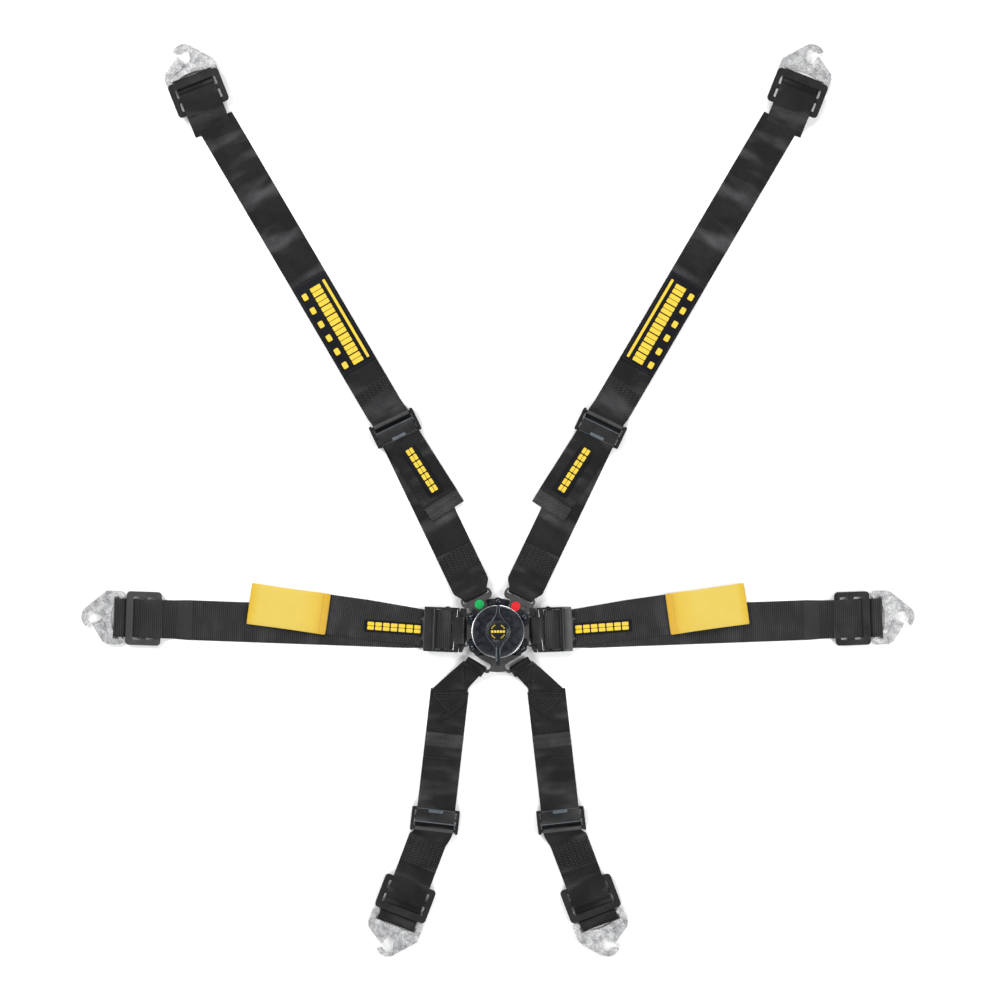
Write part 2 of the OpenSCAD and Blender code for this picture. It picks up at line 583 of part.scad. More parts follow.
module side_node(name) {
    if (name == "shoulder_tongue") shoulder_tongue();
    if (name == "lap_tongue") lap_tongue();
    if (name == "shoulder_lower_web") shoulder_lower_web();
    if (name == "shoulder_upper_web") shoulder_upper_web();
    if (name == "lap_web") lap_web();
    if (name == "crotch_upper_web") crotch_upper_web();
    if (name == "crotch_lower_web") crotch_lower_web();
    if (name == "shoulder_adjuster_frame") frame_at(shoulder_adjuster, shoulder_dir) adjuster_frame();
    if (name == "shoulder_lock_bar") frame_at(shoulder_adjuster, shoulder_dir) lock_bar();
    if (name == "lap_adjuster_frame") lap_adjuster_frame();
    if (name == "lap_lock_bar") lap_lock_bar();
    if (name == "crotch_adjuster_frame") frame_at(crotch_adjuster, crotch_upper_dir) adjuster_frame();
    if (name == "crotch_lock_bar") frame_at(crotch_adjuster, crotch_upper_dir) lock_bar();
    if (name == "shoulder_slide") shoulder_hook_frame() slide(high_slide_z);
    if (name == "lap_slide") lap_hook_frame() slide(slide_z);
    if (name == "crotch_slide") crotch_hook_frame() slide(slide_z);
    if (name == "shoulder_hook") shoulder_hook_frame() translate([shoulder_hook_gap + hook_bar, 0, 0]) hook();
    if (name == "shoulder_gate") shoulder_hook_frame() translate([shoulder_hook_gap + hook_bar, 0, 0]) gate();
    if (name == "lap_hook") lap_hook_frame() translate([lap_hook_gap + hook_bar, 0, 0]) hook();
    if (name == "lap_gate") lap_hook_frame() translate([lap_hook_gap + hook_bar, 0, 0]) gate();
    if (name == "crotch_hook") crotch_hook_frame() translate([crotch_hook_gap + hook_bar, 0, 0]) mirror([0, 1, 0]) hook();
    if (name == "crotch_gate") crotch_hook_frame() translate([crotch_hook_gap + hook_bar, 0, 0]) mirror([0, 1, 0]) gate();
    if (name == "pull_loop") pull_loop();
}

buckle_back_plate();
buckle_housing();
housing_rivets();
spindle();
dial_spring();
release_dial();
cam_ring();
dial_badge();
latch_pins();
latch_springs();
crotch_tongue();
marker_green();
marker_red();
SIDE_NODES = ["shoulder_tongue", "lap_tongue", "shoulder_lower_web", "shoulder_upper_web", "lap_web",
    "crotch_upper_web", "crotch_lower_web", "shoulder_adjuster_frame", "shoulder_lock_bar", "shoulder_slide",
    "shoulder_hook", "shoulder_gate", "lap_adjuster_frame", "lap_lock_bar", "lap_slide", "lap_hook", "lap_gate",
    "crotch_adjuster_frame", "crotch_lock_bar", "crotch_slide", "crotch_hook", "crotch_gate", "pull_loop"];
for (s = sides, n = SIDE_NODES) on_side(s) side_node(n);
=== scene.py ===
"""Looks of the six-point racing harness: webbing, sewing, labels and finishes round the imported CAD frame."""
import json
import math

import bmesh
import bpy
from mathutils import Matrix, Vector

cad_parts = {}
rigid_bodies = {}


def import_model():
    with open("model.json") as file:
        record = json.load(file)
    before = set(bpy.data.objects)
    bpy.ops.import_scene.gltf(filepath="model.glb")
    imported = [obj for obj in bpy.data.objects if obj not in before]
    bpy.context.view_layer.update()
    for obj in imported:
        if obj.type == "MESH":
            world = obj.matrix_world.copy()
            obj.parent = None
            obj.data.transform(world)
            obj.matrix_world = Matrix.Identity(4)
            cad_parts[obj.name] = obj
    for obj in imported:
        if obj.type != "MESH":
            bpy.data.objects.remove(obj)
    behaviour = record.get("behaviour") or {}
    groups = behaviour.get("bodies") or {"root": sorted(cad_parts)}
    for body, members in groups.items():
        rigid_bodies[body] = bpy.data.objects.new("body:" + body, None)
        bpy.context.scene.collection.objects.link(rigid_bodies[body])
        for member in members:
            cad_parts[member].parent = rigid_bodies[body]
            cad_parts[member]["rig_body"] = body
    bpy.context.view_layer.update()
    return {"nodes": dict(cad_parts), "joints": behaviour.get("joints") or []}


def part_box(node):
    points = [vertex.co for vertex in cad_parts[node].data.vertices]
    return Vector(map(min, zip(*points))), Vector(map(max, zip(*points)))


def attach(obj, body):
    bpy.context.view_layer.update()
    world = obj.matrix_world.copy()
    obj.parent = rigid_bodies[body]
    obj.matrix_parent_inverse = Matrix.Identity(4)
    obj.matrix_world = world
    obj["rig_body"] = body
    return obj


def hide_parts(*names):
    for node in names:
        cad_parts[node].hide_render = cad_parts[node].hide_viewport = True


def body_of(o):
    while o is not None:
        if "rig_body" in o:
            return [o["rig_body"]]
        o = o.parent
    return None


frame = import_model()

MM = 0.001
SIDES = ("left", "right")
JOINTS = {joint["name"]: joint for joint in frame["joints"]}

# Webbing and the heights of its layers, in millimetres
WEB_HALF = 24.0      # half the width of the common webbing
WEB_T = 1.2          # its thickness
RIPPLE = 0.12        # size of the slow waves along it
FLOOR = 0.8          # middle of webbing that lies flat
SECOND = 2.15        # middle of a second layer on it
SEWING = 2.85        # stitches on the second layer
BAR_Z = 7.0          # middle of the tongue bars
HOOK_Z = 4.4         # middle of the hooks' bars
LOOP_R = 3.7         # middle of webbing that loops round a bar
LAP_RIB = (0.2, 2.5)  # height and pitch of the lap webbing's cross ribs
LAP_STEP = 0.62      # spacing of stations, fine enough for those ribs
PULL_LEN = 101.0     # length of a yellow pull loop
PULL_ASIDE = -2.2    # how far a pull loop and the free end below it lie to one side of their hinge's middle
PRINT_T = 0.35       # thickness of a raised print
SLIDE_T = 3          # thickness of a three-bar slide


# ---------- frames ----------
class Strap:
    """A local frame in millimetres: s runs away from the buckle, y across, z up. The right side is mirrored."""

    def __init__(self, origin, out, side):
        self.o = Vector((origin[0], origin[1], 0))
        self.out = Vector((out[0], out[1], 0)).normalized()
        turn = 1 if side == "left" else -1
        self.lat = Vector((-self.out.y, self.out.x, 0)) * turn

    def at(self, s, y, z):
        return self.o + self.out * (s * MM) + self.lat * (y * MM) + Vector((0, 0, z * MM))


def joint_strap(name, side):
    joint = JOINTS[name]
    axis = joint["axis"]
    return Strap(joint["pos_m"], (-axis[1], axis[0]), side)


def middle(node):
    """The middle of a CAD node, in plan."""
    low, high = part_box(node)
    centre = (Vector(low) + Vector(high)) / 2
    return Vector((centre.x, centre.y, 0))


def clamp(value):
    return min(1, max(0, value))


def eased(value):
    """A smooth step from 0 to 1, level at both ends."""
    f = clamp(value)
    return f * f * (3 - 2 * f)


# ---------- materials ----------
def new_material(name, base, rough=0.5, metal=0.0, spec=0.5, coat=0.0, sheen=0.0):
    mat = bpy.data.materials.new(name)
    mat.use_nodes = True
    shader = mat.node_tree.nodes["Principled BSDF"]
    shader.inputs["Base Color"].default_value = (*base, 1)
    shader.inputs["Roughness"].default_value = rough
    shader.inputs["Metallic"].default_value = metal
    shader.inputs["Specular IOR Level"].default_value = spec
    shader.inputs["Coat Weight"].default_value = coat
    shader.inputs["Sheen Weight"].default_value = sheen
    shader.inputs["Sheen Roughness"].default_value = 0.4
    return mat, mat.node_tree, shader


def add(tree, kind, **values):
    node = tree.nodes.new(kind)
    for key, value in values.items():
        if hasattr(node, key):
            setattr(node, key, value)
        else:
            node.inputs[key.replace("_", " ")].default_value = value
    return node


def ramp(tree, source, stops):
    node = tree.nodes.new("ShaderNodeValToRGB")
    while len(node.color_ramp.elements) < len(stops):
        node.color_ramp.elements.new(0.5)
    for element, (place, colour) in zip(node.color_ramp.elements, stops):
        element.position = place
        element.color = (*colour, 1) if len(colour) == 3 else colour
    tree.links.new(source, node.inputs[0])
    return node


def bump(tree, shader, height, strength, distance):
    node = add(tree, "ShaderNodeBump", Strength=strength, Distance=distance)
    tree.links.new(height, node.inputs["Height"])
    tree.links.new(node.outputs["Normal"], shader.inputs["Normal"])


def scaled_uv(tree, scale):
    coords = tree.nodes.new("ShaderNodeTexCoord")
    mapping = add(tree, "ShaderNodeMapping")
    mapping.inputs["Scale"].default_value = scale
    tree.links.new(coords.outputs["UV"], mapping.inputs["Vector"])
    return mapping.outputs["Vector"]


def object_coords(tree):
    return tree.nodes.new("ShaderNodeTexCoord").outputs["Object"]


BAND = 0.314         # scale at which a wave texture gives one band to each unit


def bands(tree, scale, direction="X", distortion=0.2):
    """Sine bands on the ribbon's UV."""
    wave = add(tree, "ShaderNodeTexWave", wave_type="BANDS", bands_direction=direction, Scale=1.0,
               Distortion=distortion)
    tree.links.new(scaled_uv(tree, scale), wave.inputs["Vector"])
    return wave.outputs["Fac"]


def math_node(tree, operation, first, second):
    node = add(tree, "ShaderNodeMath", operation=operation)
    for socket, value in zip(node.inputs, (first, second)):
        if isinstance(value, float):
            socket.default_value = value
        else:
            tree.links.new(value, socket)
    return node.outputs[0]


# The fold shade is painted shade: a darker tint at given places along the webbing.
FOLD_SHADE_RUN = 0.216     # metres along the webbing that a fade's stops are spread over


def woven(name, dark, light, pitch, rough=0.55, sheen=0.04, rib=0.0, strength=0.5, spec=0.16, sheen_patches=0.5,
          fold_shade=None, sheen_streaks=0.0):
    """Woven webbing: yarns every pitch metres, or cross ribs every rib metres, on the ribbon's own UV.

    Slow lighter, glossier blotches and lighter bands drawn out along the strap, both painted sheen, lie over
    them; the fold shade is painted shade, a darker tint at given places along the webbing.
    """
    mat, tree, shader = new_material(name, dark, rough, spec=spec, sheen=sheen)
    yarn = bands(tree, (1, BAND / pitch, 1), "Y")
    if rib:
        weave = math_node(tree, "MULTIPLY_ADD", yarn, 0.25)
        cross = bands(tree, (BAND / rib, 1, 1), "X", 0.0)
        tree.links.new(cross, weave.node.inputs[2])
    else:
        twill = bands(tree, (BAND / pitch, 0.4 * BAND / pitch, 1), "DIAGONAL")
        weave = math_node(tree, "MULTIPLY", yarn, twill)
    # slow noise: lighter, glossier blotches of painted sheen
    noise = add(tree, "ShaderNodeTexNoise", Scale=26.0, Detail=6.0, Roughness=0.62)
    tree.links.new(object_coords(tree), noise.inputs["Vector"])
    slow = ramp(tree, noise.outputs["Fac"], [(0.42, (0.0,) * 3), (0.68, (1.0,) * 3)])
    tone = math_node(tree, "MULTIPLY_ADD", slow.outputs["Color"], sheen_patches)
    tree.links.new(weave, tone.node.inputs[2])
    colour = ramp(tree, tone, [(0.1, dark), (1.3 / 1.5, light)])
    tree.links.new(colour.outputs["Color"], shader.inputs["Base Color"])
    # painted sheen: noise drawn out along the strap lifts the base colour in bands
    if sheen_streaks:
        sheen_noise = add(tree, "ShaderNodeTexNoise", noise_dimensions="2D", Scale=1.0, Detail=2.0, Roughness=0.5)
        tree.links.new(scaled_uv(tree, (30, 9, 1)), sheen_noise.inputs["Vector"])
        shine = ramp(tree, sheen_noise.outputs["Fac"], [(0.5, (0.0,) * 3), (0.7, (1.0,) * 3)])
        gain = math_node(tree, "MULTIPLY_ADD", shine.outputs["Color"], sheen_streaks)
        gain.node.inputs[2].default_value = 0.75
        lift = add(tree, "ShaderNodeVectorMath", operation="SCALE")
        tree.links.new(colour.outputs["Color"], lift.inputs[0])
        tree.links.new(gain, lift.inputs["Scale"])
        tree.links.new(lift.outputs["Vector"], shader.inputs["Base Color"])
    # painted shade: the base colour is tinted darker along the webbing at the fold shade's stops
    if fold_shade:
        along = tree.nodes.new("ShaderNodeSeparateXYZ")
        tree.links.new(scaled_uv(tree, (1 / FOLD_SHADE_RUN, 1, 1)), along.inputs[0])
        shade_tint = ramp(tree, along.outputs["X"], fold_shade)
        mix = add(tree, "ShaderNodeVectorMath", operation="MULTIPLY")
        tree.links.new(colour.outputs["Color"], mix.inputs[0])
        tree.links.new(shade_tint.outputs["Color"], mix.inputs[1])
        tree.links.new(mix.outputs["Vector"], shader.inputs["Base Color"])
    gloss = ramp(tree, noise.outputs["Fac"],
                 [(0.4, (min(1.0, rough * 1.25),) * 3), (0.7, (rough * 0.7,) * 3)])
    tree.links.new(gloss.outputs["Color"], shader.inputs["Roughness"])
    bump(tree, shader, weave, strength, 0.0004)
    return mat


def satin_metal(name, base, lift, rough, metal=0.6, grain=900.0, strength=0.12, spec=0.5):
    """Painted or plated plate, rubber or thread: slight tone and gloss variation, fine grain."""
    mat, tree, shader = new_material(name, base, rough, metal, spec)
    noise = add(tree, "ShaderNodeTexNoise", Scale=45.0, Detail=6.0, Roughness=0.65)
    tree.links.new(object_coords(tree), noise.inputs["Vector"])
    colour = ramp(tree, noise.outputs["Fac"], [(0.3, base), (0.75, lift)])
    tree.links.new(colour.outputs["Color"], shader.inputs["Base Color"])
    gloss = ramp(tree, noise.outputs["Fac"],
                 [(0.3, (rough * 0.85,) * 3), (0.7, (min(1, rough * 1.2),) * 3)])
    tree.links.new(gloss.outputs["Color"], shader.inputs["Roughness"])
    fine = add(tree, "ShaderNodeTexNoise", Scale=grain, Detail=3.0)
    tree.links.new(object_coords(tree), fine.inputs["Vector"])
    bump(tree, shader, fine.outputs["Fac"], strength, 0.0002)
    return mat


def mottled_zinc(name):
    """Zinc-plated pressed steel: cloudy light grey with small bright and dark spangles."""
    mat, tree, shader = new_material(name, (0.6, 0.6, 0.61), 0.42, 0.55)
    cloud = add(tree, "ShaderNodeTexNoise", Scale=120.0, Detail=8.0, Roughness=0.7)
    tree.links.new(object_coords(tree), cloud.inputs["Vector"])
    spangle = add(tree, "ShaderNodeTexVoronoi", Scale=420.0)
    tree.links.new(object_coords(tree), spangle.inputs["Vector"])
    mix = math_node(tree, "MULTIPLY_ADD", spangle.outputs["Distance"], 0.35)
    tree.links.new(cloud.outputs["Fac"], mix.node.inputs[2])
    colour = ramp(tree, mix,
                  [(0.35, (0.17, 0.17, 0.175)), (0.6, (0.36, 0.36, 0.365)), (0.85, (0.6, 0.6, 0.6))])
    tree.links.new(colour.outputs["Color"], shader.inputs["Base Color"])
    gloss = ramp(tree, cloud.outputs["Fac"], [(0.3, (0.3,) * 3), (0.7, (0.55,) * 3)])
    tree.links.new(gloss.outputs["Color"], shader.inputs["Roughness"])
    bump(tree, shader, mix, 0.25, 0.0003)
    return mat


def gloss_black(name, base, rough, coat):
    """Moulded gloss plastic with a faint ripple and soft highlights."""
    mat, tree, shader = new_material(name, base, rough, coat=coat)
    shader.inputs["Coat Roughness"].default_value = 0.08
    noise = add(tree, "ShaderNodeTexNoise", Scale=160.0, Detail=4.0)
    tree.links.new(object_coords(tree), noise.inputs["Vector"])
    gloss = ramp(tree, noise.outputs["Fac"], [(0.35, (rough * 0.8,) * 3), (0.7, (rough * 1.7,) * 3)])
    tree.links.new(gloss.outputs["Color"], shader.inputs["Roughness"])
    bump(tree, shader, noise.outputs["Fac"], 0.04, 0.0003)
    return mat


def enamel(name, base, lift):
    """Printed or enamelled colour with a little uneven tone."""
    mat, tree, shader = new_material(name, base, 0.35)
    noise = add(tree, "ShaderNodeTexNoise", Scale=300.0, Detail=3.0)
    tree.links.new(object_coords(tree), noise.inputs["Vector"])
    colour = ramp(tree, noise.outputs["Fac"], [(0.3, base), (0.75, lift)])
    tree.links.new(colour.outputs["Color"], shader.inputs["Base Color"])
    bump(tree, shader, noise.outputs["Fac"], 0.15, 0.0001)
    return mat


# the webbings' painted sheen is set here: lighter, glossier blotches and lighter bands along the strap
WEBBING = woven("webbing", (0.0035, 0.0035, 0.0038), (0.016, 0.016, 0.0165), 0.0012, sheen_streaks=3.4)
# a lighter copy of the black webbing: painted sheen, used on hems and their ridges
SHEEN_WEBBING = woven("sheen_lit_webbing", (0.012, 0.012, 0.0125), (0.05, 0.05, 0.052), 0.0012, 0.45)
RIBBED = woven("ribbed_webbing", (0.005, 0.005, 0.0053), (0.030, 0.030, 0.031), 0.0011, rib=0.0025,
               sheen_patches=0.25, sheen_streaks=0.6)
# yellow pull loop: painted shade, darker and more orange, at its two folded ends where the curve turns from the
# light; its own colour between them
YELLOW_WEB = woven("yellow_webbing", (0.50, 0.36, 0.055), (0.57, 0.43, 0.085), 0.0011, rough=0.6, sheen=0.1,
                   rib=0.0014, strength=0.3, spec=0.2, sheen_patches=0.3,
                   fold_shade=[(0.47, (0.9, 0.72, 0.4)), (0.53, (1.0, 0.93, 0.7)), (0.62, (1.0, 1.0, 1.0)),
                         (0.86, (1.0, 1.0, 1.0)), (0.9, (0.97, 0.86, 0.4)), (0.94, (0.95, 0.76, 0.25))])
PLATE = satin_metal("plate_grey", (0.062, 0.058, 0.058), (0.095, 0.09, 0.09), 0.42)
BLACK_STEEL = satin_metal("black_steel", (0.006, 0.006, 0.0065), (0.014, 0.014, 0.015), 0.36, 0.2)
SLIDE_GREY = satin_metal("slide_grey", (0.03, 0.03, 0.03), (0.045, 0.045, 0.045), 0.5, 0.3)
STEEL = satin_metal("bright_steel", (0.52, 0.52, 0.54), (0.66, 0.66, 0.67), 0.28, 0.95)
ZINC = mottled_zinc("zinc")
HOUSING = gloss_black("housing_black", (0.005, 0.008, 0.012), 0.28, 0.2)
DIAL = gloss_black("dial_black", (0.0006, 0.0022, 0.005), 0.3, 0.1)
# a lighter grey for painted highlights along raised edges of the dial and the adjusters
EDGE_HIGHLIGHT = satin_metal("edge_highlight_grey", (0.06, 0.075, 0.09), (0.11, 0.125, 0.14), 0.4, 0.3)
BADGE = gloss_black("badge_black", (0.003, 0.003, 0.003), 0.25, 0.2)
RUBBER = satin_metal("label_rubber", (0.0016, 0.0018, 0.0036), (0.0035, 0.004, 0.0065), 0.6, 0.0, spec=0.14)
PRINT = enamel("yellow_print", (0.62, 0.43, 0.034), (0.70, 0.5, 0.05))
GREEN = enamel("green_enamel", (0.0, 0.33, 0.07), (0.01, 0.42, 0.10))
RED = enamel("red_enamel", (0.6, 0.008, 0.014), (0.7, 0.02, 0.03))
YELLOW_THREAD = enamel("yellow_thread", (0.42, 0.26, 0.02), (0.5, 0.32, 0.03))
THREAD = satin_metal("thread", (0.018, 0.018, 0.019), (0.045, 0.045, 0.047), 0.55, 0.0, 2500.0, 0.3)


# ---------- mesh helpers ----------
def finish_mesh(bm, name, material, smooth_angle=40):
    mesh = bpy.data.meshes.new(name)
    bm.normal_update()
    bm.to_mesh(mesh)
    bm.free()
    obj = bpy.data.objects.new(name, mesh)
    bpy.context.scene.collection.objects.link(obj)
    mesh.materials.append(material)
    for face in mesh.polygons:
        face.use_smooth = True
    mesh.set_sharp_from_angle(angle=math.radians(smooth_angle))
    return obj


def rounded_path(points, rounds=3):
    """Cuts the corners of a path of (s, z) points, keeping its ends."""
    for _ in range(rounds):
        cut = [points[0]]
        for a, b in zip(points, points[1:]):
            cut.append(tuple(p + (q - p) * 0.25 for p, q in zip(a, b)))
            cut.append(tuple(p + (q - p) * 0.75 for p, q in zip(a, b)))
        cut.append(points[-1])
        points = cut
    return points


def evenly(points, step):
    """The same path with points no further apart than step."""
    out = [points[0]]
    for a, b in zip(points, points[1:]):
        length = math.dist(a, b)
        parts = max(1, math.ceil(length / step))
        out += [tuple(p + (q - p) * k / parts for p, q in zip(a, b)) for k in range(1, parts + 1)]
    return out


def arc(centre, radius, start, end, count=12):
    angles = [math.radians(start + (end - start) * k / count) for k in range(count + 1)]
    return [(centre[0] + radius * math.cos(a), centre[1] + radius * math.sin(a)) for a in angles]


def ribbon(name, stations, thick, material, rib=None):
    """A woven strip from stations (left edge, right edge): rounded selvedges and a UV in metres.

    rib is the height and pitch of cross ribs, in millimetres.
    """
    columns = 10
    lateral = [math.cos(math.pi * k / columns) for k in range(columns + 1)]
    rim = [(1, t) for t in lateral] + [(-1, t) for t in lateral[-2:0:-1]]
    bm = bmesh.new()
    uv_layer = bm.loops.layers.uv.new("UVMap")
    rings = []
    places = []
    run = 0.0
    for i, (left, right) in enumerate(stations):
        mid = (left + right) / 2
        ahead = stations[min(i + 1, len(stations) - 1)]
        behind = stations[max(i - 1, 0)]
        tangent = ((ahead[0] + ahead[1]) - (behind[0] + behind[1])).normalized()
        across = right - left
        normal = across.cross(tangent).normalized()
        if i:
            run += (mid - (stations[i - 1][0] + stations[i - 1][1]) / 2).length
        half = thick * MM / 2
        wave = RIPPLE * MM * math.sin(run * 71 + 1.3) * 0.5
        ridge = -rib[0] * MM * math.cos(2 * math.pi * run / (rib[1] * MM)) if rib else 0.0
        ring = []
        place = []
        for layer, t in rim:
            edge = math.sqrt(max(0.0, 1 - t ** 8))
            selvedge = 1 + 0.25 * math.exp(-((abs(t) - 0.93) / 0.04) ** 2)
            lift = layer * (half * edge * selvedge + ridge * edge) + wave * (1 - t * t) * 0.4
            ring.append(bm.verts.new(mid - across * (t / 2) + normal * lift))
            place.append((run, t * across.length / 2))
        rings.append(ring)
        places.append(place)
    count = len(rings[0])
    for i in range(len(rings) - 1):
        for k in range(count):
            n = (k + 1) % count
            face = bm.faces.new((rings[i][k], rings[i][n], rings[i + 1][n], rings[i + 1][k]))
            spots = (places[i][k], places[i][n], places[i + 1][n], places[i + 1][k])
            for loop, spot in zip(face.loops, spots):
                loop[uv_layer].uv = spot
    bm.faces.new(rings[0][::-1])
    bm.faces.new(rings[-1])
    bmesh.ops.recalc_face_normals(bm, faces=bm.faces)
    obj = finish_mesh(bm, name, material, 60)
    return obj


def strip(strap, path, half=WEB_HALF, step=2.0):
    """Stations of a strip that follows a side path (s, z); half is half its width, or a function of s."""
    width = half if callable(half) else (lambda s: half)
    return [(strap.at(s, width(s), z), strap.at(s, -width(s), z)) for s, z in evenly(path, step)]


def plan_shape(name, strap, outline, low, high, material, bevel, segments=2):
    """A flat plate of the given plan outline (s, y) between two heights, with its top edge rounded."""
    bm = bmesh.new()
    base = [bm.verts.new(strap.at(s, y, low)) for s, y in outline]
    face = bm.faces.new(base)
    lifted = bmesh.ops.extrude_face_region(bm, geom=[face])["geom"]
    bmesh.ops.translate(bm, verts=[g for g in lifted if isinstance(g, bmesh.types.BMVert)],
                        vec=(0, 0, (high - low) * MM))
    bmesh.ops.recalc_face_normals(bm, faces=bm.faces)
    top = [e for e in bm.edges if all(v.co.z > (low + high) / 2 * MM for v in e.verts)]
    bmesh.ops.bevel(bm, geom=top, offset=bevel * MM, segments=segments, affect="EDGES", profile=0.5)
    return finish_mesh(bm, name, material, 35)


def round_box(s0, s1, y0, y1, r, count=5):
    """Outline of a rectangle with rounded corners."""
    corners = ((s1 - r, y1 - r, 0), (s0 + r, y1 - r, 90), (s0 + r, y0 + r, 180), (s1 - r, y0 + r, 270))
    return [p for cs, cy, a in corners for p in arc((cs, cy), r, a, a + 90, count)]


def join(pieces, name):
    """Joins pieces of one material into one object."""
    bm = bmesh.new()
    for piece in pieces:
        bm.from_mesh(piece.data)
    material = pieces[0].data.materials[0]
    for piece in pieces:
        bpy.data.objects.remove(piece)
    return finish_mesh(bm, name, material, 40)


def soften(node, material, width):
    """Stands in for a CAD plate with the same shape and rounded edges."""
    source = frame["nodes"][node]
    bm = bmesh.new()
    bm.from_mesh(source.data)
    bmesh.ops.remove_doubles(bm, verts=bm.verts, dist=0.00002)
    bmesh.ops.dissolve_limit(bm, angle_limit=math.radians(4), verts=bm.verts, edges=bm.edges)
    obj = finish_mesh(bm, node + "_finish", material, 30)
    modifier = obj.modifiers.new("edges", "BEVEL")
    modifier.width = width * MM
    modifier.segments = 2
    modifier.limit_method = "ANGLE"
    modifier.angle_limit = math.radians(28)
    modifier.harden_normals = True
    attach(obj, body_of(source)[0])
    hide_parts(node)
    return obj


# One stitch: places along it, and the share of its radius there
GRAIN = ((0, 0.15), (0.2, 0.8), (0.5, 1.0), (0.8, 0.8), (1, 0.15))


def stitches(name, strap, lines, height, pitch=3.2, radius=0.32, gap=0.35, material=THREAD):
    """Thread stitches laid along lines of (s, y) points: each is a short fat grain lying on the webbing.

    height is in millimetres, or a function of s and y; gap is the share of the pitch left between stitches.
    """
    bm = bmesh.new()
    sides = 6
    for line in lines:
        for a, b in zip(line, line[1:]):
            length = math.dist(a, b)
            count = max(1, round(length / pitch))
            for k in range(count):
                f0 = (k + gap / 2) / count
                f1 = (k + 1 - gap / 2) / count
                ends = [(a[0] + (b[0] - a[0]) * f, a[1] + (b[1] - a[1]) * f) for f in (f0, f1)]
                p0, p1 = (strap.at(s, y, height(s, y) if callable(height) else height) for s, y in ends)
                direction = (p1 - p0).normalized()
                across = direction.cross(Vector((0, 0, 1)))
                rings = []
                for f, size in GRAIN:
                    mid = p0.lerp(p1, f)
                    ring = []
                    for j in range(sides):
                        turn = 2 * math.pi * j / sides
                        shift = across * math.cos(turn) + Vector((0, 0, 1)) * math.sin(turn)
                        ring.append(bm.verts.new(mid + shift * radius * size * MM))
                    rings.append(ring)
                for r0, r1 in zip(rings, rings[1:]):
                    for j in range(sides):
                        n = (j + 1) % sides
                        bm.faces.new((r0[j], r0[n], r1[n], r1[j]))
                bm.faces.new(rings[0][::-1])
                bm.faces.new(rings[-1])
    bmesh.ops.recalc_face_normals(bm, faces=bm.faces)
    return finish_mesh(bm, name, material, 80)


def zigzag(s0, s1, y0, y1, rows, teeth):
    """Rows of zigzag sewing that fill a rectangle, running along s."""
    out = []
    height = (y1 - y0) / rows
    for row in range(rows):
        low = y0 + height * (row + 0.12)
        high = y0 + height * (row + 0.88)
        out.append([(s0 + (s1 - s0) * k / (2 * teeth), low if k % 2 else high) for k in range(2 * teeth + 1)])
    return out


def box_line(s0, s1, y0, y1):
    return [(s0, y0), (s1, y0), (s1, y1), (s0, y1), (s0, y0)]


def dress(obj, body, node=None):
    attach(obj, body)
    if node:
        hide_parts(node)
    return obj


def blocks(name, strap, s0, s1, y0, y1, count, z, gap=1.5, across=False):
    """A plain raised print: a row of equal rounded blocks, each with a fine groove along or across it."""
    pitch = (s1 - s0 + gap) / count
    middle_y = (y0 + y1) / 2
    pieces = []
    for k in range(count):
        a = s0 + k * pitch
        b = a + pitch - gap
        middle_s = (a + b) / 2
        halves = ([(a, middle_s - 0.35, y0, y1), (middle_s + 0.35, b, y0, y1)] if across
                  else [(a, b, y0, middle_y - 0.3), (a, b, middle_y + 0.3, y1)])
        for n, box in enumerate(halves):
            outline = round_box(*box, 0.9, 3)
            pieces.append(plan_shape(f"{name}_{k}_{n}", strap, outline, z, z + PRINT_T, PRINT, 0.12, 1))
    return join(pieces, name)


def rod(name, points, radius, material):
    """A round rod of a radius in millimetres through points in metres."""
    sides = 10
    bm = bmesh.new()
    rings = []
    for k, point in enumerate(points):
        direction = (points[min(k + 1, len(points) - 1)] - points[max(k - 1, 0)]).normalized()
        across = direction.cross(Vector((0, 0, 1))).normalized()
        up = across.cross(direction)
        rings.append([bm.verts.new(point + (across * math.cos(a) + up * math.sin(a)) * radius * MM)
                      for a in (2 * math.pi * j / sides for j in range(sides))])
    for first, second in zip(rings, rings[1:]):
        for j in range(sides):
            n = (j + 1) % sides
            bm.faces.new((first[j], first[n], second[n], second[j]))
    bm.faces.new(rings[0][::-1])
    bm.faces.new(rings[-1])
    bmesh.ops.recalc_face_normals(bm, faces=bm.faces)
    return finish_mesh(bm, name, material, 60)


# ---------- webbing shared by the straps ----------
def slide_loop(b, z, start):
    """Side path of the webbing over a three-bar slide and round the hook's bar; s = 0 is the slide's centre.

    b is the place of the hook's bar, z the slide's underside and start the place where the lower layer ends.
    """
    over = z + SLIDE_T + 0.1 + WEB_T
    front = b + 8.3 - 3.1 - WEB_T
    upper = over + WEB_T / 2
    lower = over - WEB_T / 2
    if z > 6:       # the slide lies over the hook's arms
        down_top = [(6.9, z - 0.2), (9.6, HOOK_Z + LOOP_R)]
        back = [(b - 1, HOOK_Z - LOOP_R), (7.5, 1.9), (5.2, z - 1.6)]
    else:
        down_top = [(10.2, z - 0.2), (13, 2.6), (19, 2.2), (b - 4.6, 2.5), (b - 3.8, HOOK_Z + 2.4)]
        back = [(b - 3, HOOK_Z - LOOP_R), (19, 0.9), (12, 1.0), (8.6, z - 0.6)]
    top = [(-24, upper - 0.6), (-19, upper), (2.8, upper), (5.4, upper - 1.9)] + down_top
    loop = [(b - 0.5, HOOK_Z + LOOP_R)] + arc((front, HOOK_Z), LOOP_R, 90, -90)
    under = back + [(4.0, over - 2.2), (2.2, lower), (-20, lower), (-24, lower - 0.8)]
    tail_run = [(-22 - z - 12, FLOOR), (start, FLOOR)]
    return rounded_path(top + loop + under + tail_run, 2)


